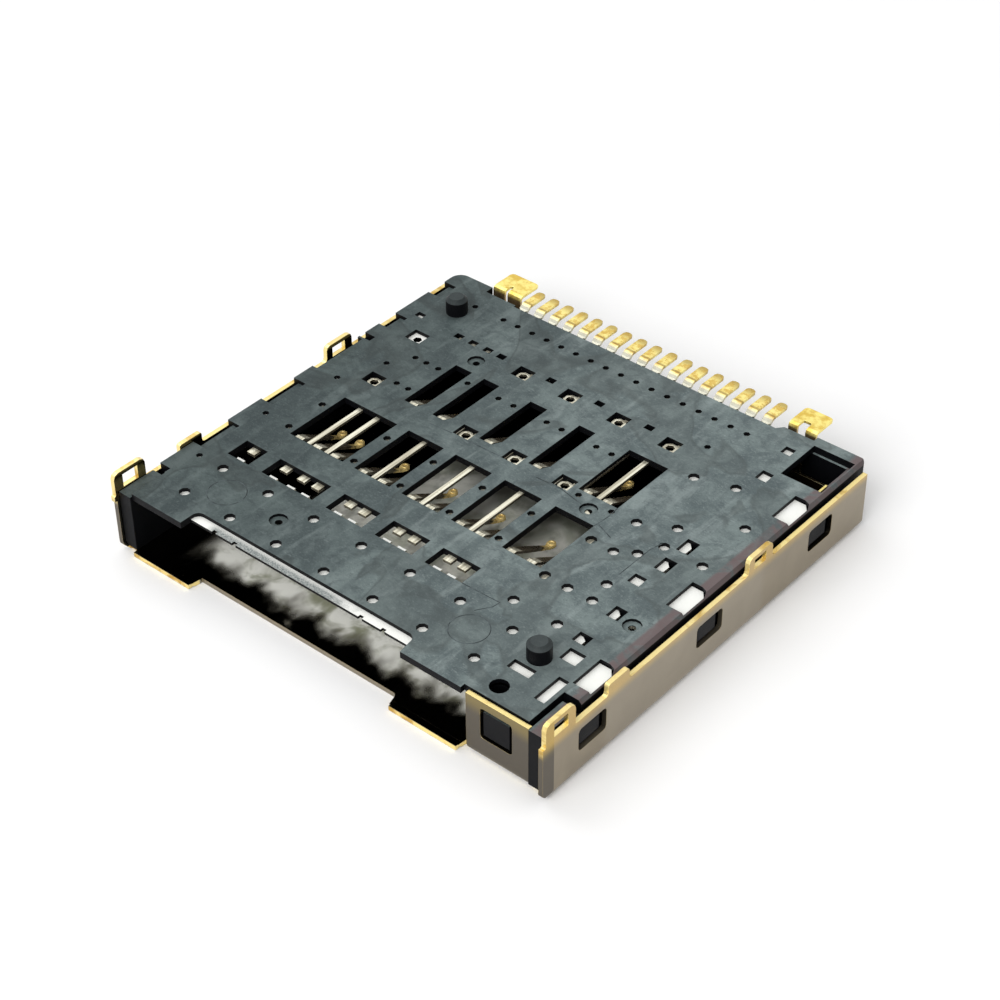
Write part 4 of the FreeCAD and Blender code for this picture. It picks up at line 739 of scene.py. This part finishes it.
glide, tree, shader = new_material("slider_resin")
point, part = place_mm(tree)
edge = edge_wear(tree, 0.06)
mottle = cloud(tree, point, 0.9, detail=5)
grain = cloud(tree, point, 24.0, detail=2)
drag = cloud(tree, point, 3.0, detail=3, stretch=(8.0, 0.15, 8.0))
colour = blend_colour(tree, mottle, GLIDE_DARK, GLIDE_PALE)
colour = tint(tree, colour, GLIDE_DRAG, step_up(tree, drag, 0.55, 0.75), 0.3)
colour = tint(tree, colour, WORN_GLIDE, edge["Edge"], 0.35)
shine = maths(tree, "MULTIPLY_ADD", drag, 0.35, 0.22)
finish(tree, shader, colour, shine, grain, strength=0.25, depth=0.01, normal=edge["Normal"])
dress(glide, "ejector_slider")

# Ejector spring and cam pin: drawn spring steel wire. The spring is wound cold between the slider's
# shoulder and the stop wall; the pin is a staple whose ends are cropped and tumbled.

STEEL_DARK = seen(120, 118, 112)
STEEL_PALE = seen(196, 194, 188)
COIL_TURNS = 9.0
TURN_STEPS = 30
WIRE_RADIUS = 0.14 * MM
WIRE_CORNERS = 12

steel, tree, shader = new_material("spring_wire", metallic=1.0)
point, part = place_mm(tree)
drawn = cloud(tree, point, 6.0, detail=4, roughness=0.6)
speck = cloud(tree, point, 30.0, detail=2)
colour = blend_colour(tree, drawn, STEEL_DARK, STEEL_PALE)
shine = maths(tree, "MULTIPLY_ADD", drawn, 0.25, 0.16)
finish(tree, shader, colour, shine, speck, strength=0.2, depth=0.005)
dress(steel, "cam_pin")

low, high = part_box("ejector_spring")
coil_sizes = {
    "Mean radius": (high.x - low.x) / 2 - WIRE_RADIUS,
    "Length": high.y - low.y - 2 * WIRE_RADIUS,
    "Turns": COIL_TURNS,
    "Wire radius": WIRE_RADIUS,
}
tree, ins, outs = shape_tree("coil_shape", coil_sizes)
spiral_sockets = {
    "Resolution": TURN_STEPS,
    "Rotations": ins["Turns"],
    "Start Radius": ins["Mean radius"],
    "End Radius": ins["Mean radius"],
    "Height": ins["Length"],
}
spiral = put(tree, "GeometryNodeCurveSpiral", spiral_sockets).outputs[0]
wire = swept(tree, spiral, circle(tree, ins["Wire radius"], WIRE_CORNERS), capped=True)
laid_sockets = {
    "Geometry": wire,
    "Rotation": (math.radians(-90), 0, 0),
    "Translation": ((low.x + high.x) / 2, low.y + WIRE_RADIUS, (low.z + high.z) / 2),
}
laid = put(tree, "GeometryNodeTransform", laid_sockets).outputs[0]
smooth = put(tree, "GeometryNodeSetShadeSmooth", {"Geometry": laid}).outputs[0]
end_tree(tree, smooth, steel, outs)
coil = grow("coil_wire", tree, coil_sizes)
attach(coil, "housing")
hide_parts("ejector_spring")
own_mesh(coil)

# Floor and light: a plain pale table in a soft white room. The table keeps the slot's shadow, and the
# room is white to the camera and in reflections. A weak lamp hangs over the left side of the slot and
# a stronger one in front of the mouth, both wide and soft.

TABLE_SIZE = 3.0
TABLE_DROP = 0.00002
TABLE_WHITE = seen(254, 254, 254)
TABLE_PALE = seen(255, 255, 255)
ROOM_WHITE = (1, 1, 1, 1)
ROOM_LIGHT = 0.62
LAMP_WIDTH = 0.36
LEFT_LAMP = (-0.30, 0.04, 0.34)
LEFT_POWER = 0.40
FRONT_LAMP = (0.04, -0.38, 0.28)
FRONT_POWER = 1.50

bpy.ops.mesh.primitive_plane_add(size=TABLE_SIZE, location=(0, 0, -TABLE_DROP))
table = bpy.context.object
table.name = "table_top"
paint, tree, shader = new_material("table_paint")
point, part = place_mm(tree)
colour = blend_colour(tree, cloud(tree, point, 0.01, detail=2), TABLE_WHITE, TABLE_PALE)
finish(tree, shader, colour, maths(tree, "MULTIPLY_ADD", cloud(tree, point, 0.02), 0.1, 0.8))
table.data.materials.append(paint)

world = bpy.data.worlds.new("soft_room")
bpy.context.scene.world = world
world.use_nodes = True
tree = world.node_tree
tree.nodes.clear()
rays = put(tree, "ShaderNodeLightPath").outputs
seen_directly = any_of(tree, rays["Is Camera Ray"], rays["Is Transmission Ray"], rays["Is Glossy Ray"])
lit = put(tree, "ShaderNodeBackground", {"Color": ROOM_WHITE, "Strength": ROOM_LIGHT}).outputs[0]
backdrop = put(tree, "ShaderNodeBackground", {"Color": ROOM_WHITE, "Strength": 1.0}).outputs[0]
room = put(tree, "ShaderNodeMixShader", {0: seen_directly, 1: lit, 2: backdrop}).outputs[0]
put(tree, "ShaderNodeOutputWorld", {"Surface": room})


def soft_lamp(name, place, power):
    """A round lamp that looks at the middle of the slot; place in metres, power in watts."""
    light = bpy.data.lights.new(name, "AREA")
    light.shape = "DISK"
    light.size = LAMP_WIDTH
    light.energy = power
    lamp = bpy.data.objects.new(name, light)
    bpy.context.scene.collection.objects.link(lamp)
    lamp.location = place
    lamp.rotation_euler = (-Vector(place)).to_track_quat("-Z", "Y").to_euler()


soft_lamp("window_lamp", LEFT_LAMP, LEFT_POWER)
soft_lamp("fill_lamp", FRONT_LAMP, FRONT_POWER)

# Camera: a short telephoto lens above the right front corner, as the photograph was taken. Its place in
# millimetres and its directions come from the slot's straight edges in the photograph.

CAMERA_PLACE = (57.42, -67.49, 72.14)
RIGHTWARD = Vector((0.7629, 0.6465, -0.0063))
BACKWARD = Vector((0.5091, -0.5946, 0.6222)).normalized()
FOCAL_LENGTH = 81.76
SENSOR_WIDTH = 36.0
NEAREST_SEEN = 0.001

upward = BACKWARD.cross(RIGHTWARD).normalized()
rightward = upward.cross(BACKWARD)
lens = bpy.data.cameras.new("camera")
lens.lens = FOCAL_LENGTH
lens.sensor_width = SENSOR_WIDTH
lens.clip_start = NEAREST_SEEN
camera = bpy.data.objects.new("camera", lens)
bpy.context.scene.collection.objects.link(camera)
turn = Matrix((rightward, upward, BACKWARD)).transposed().to_4x4()
camera.matrix_world = Matrix.Translation(Vector(CAMERA_PLACE) * MM) @ turn
bpy.context.scene.camera = camera
bpy.context.scene.view_settings.view_transform = "Standard"
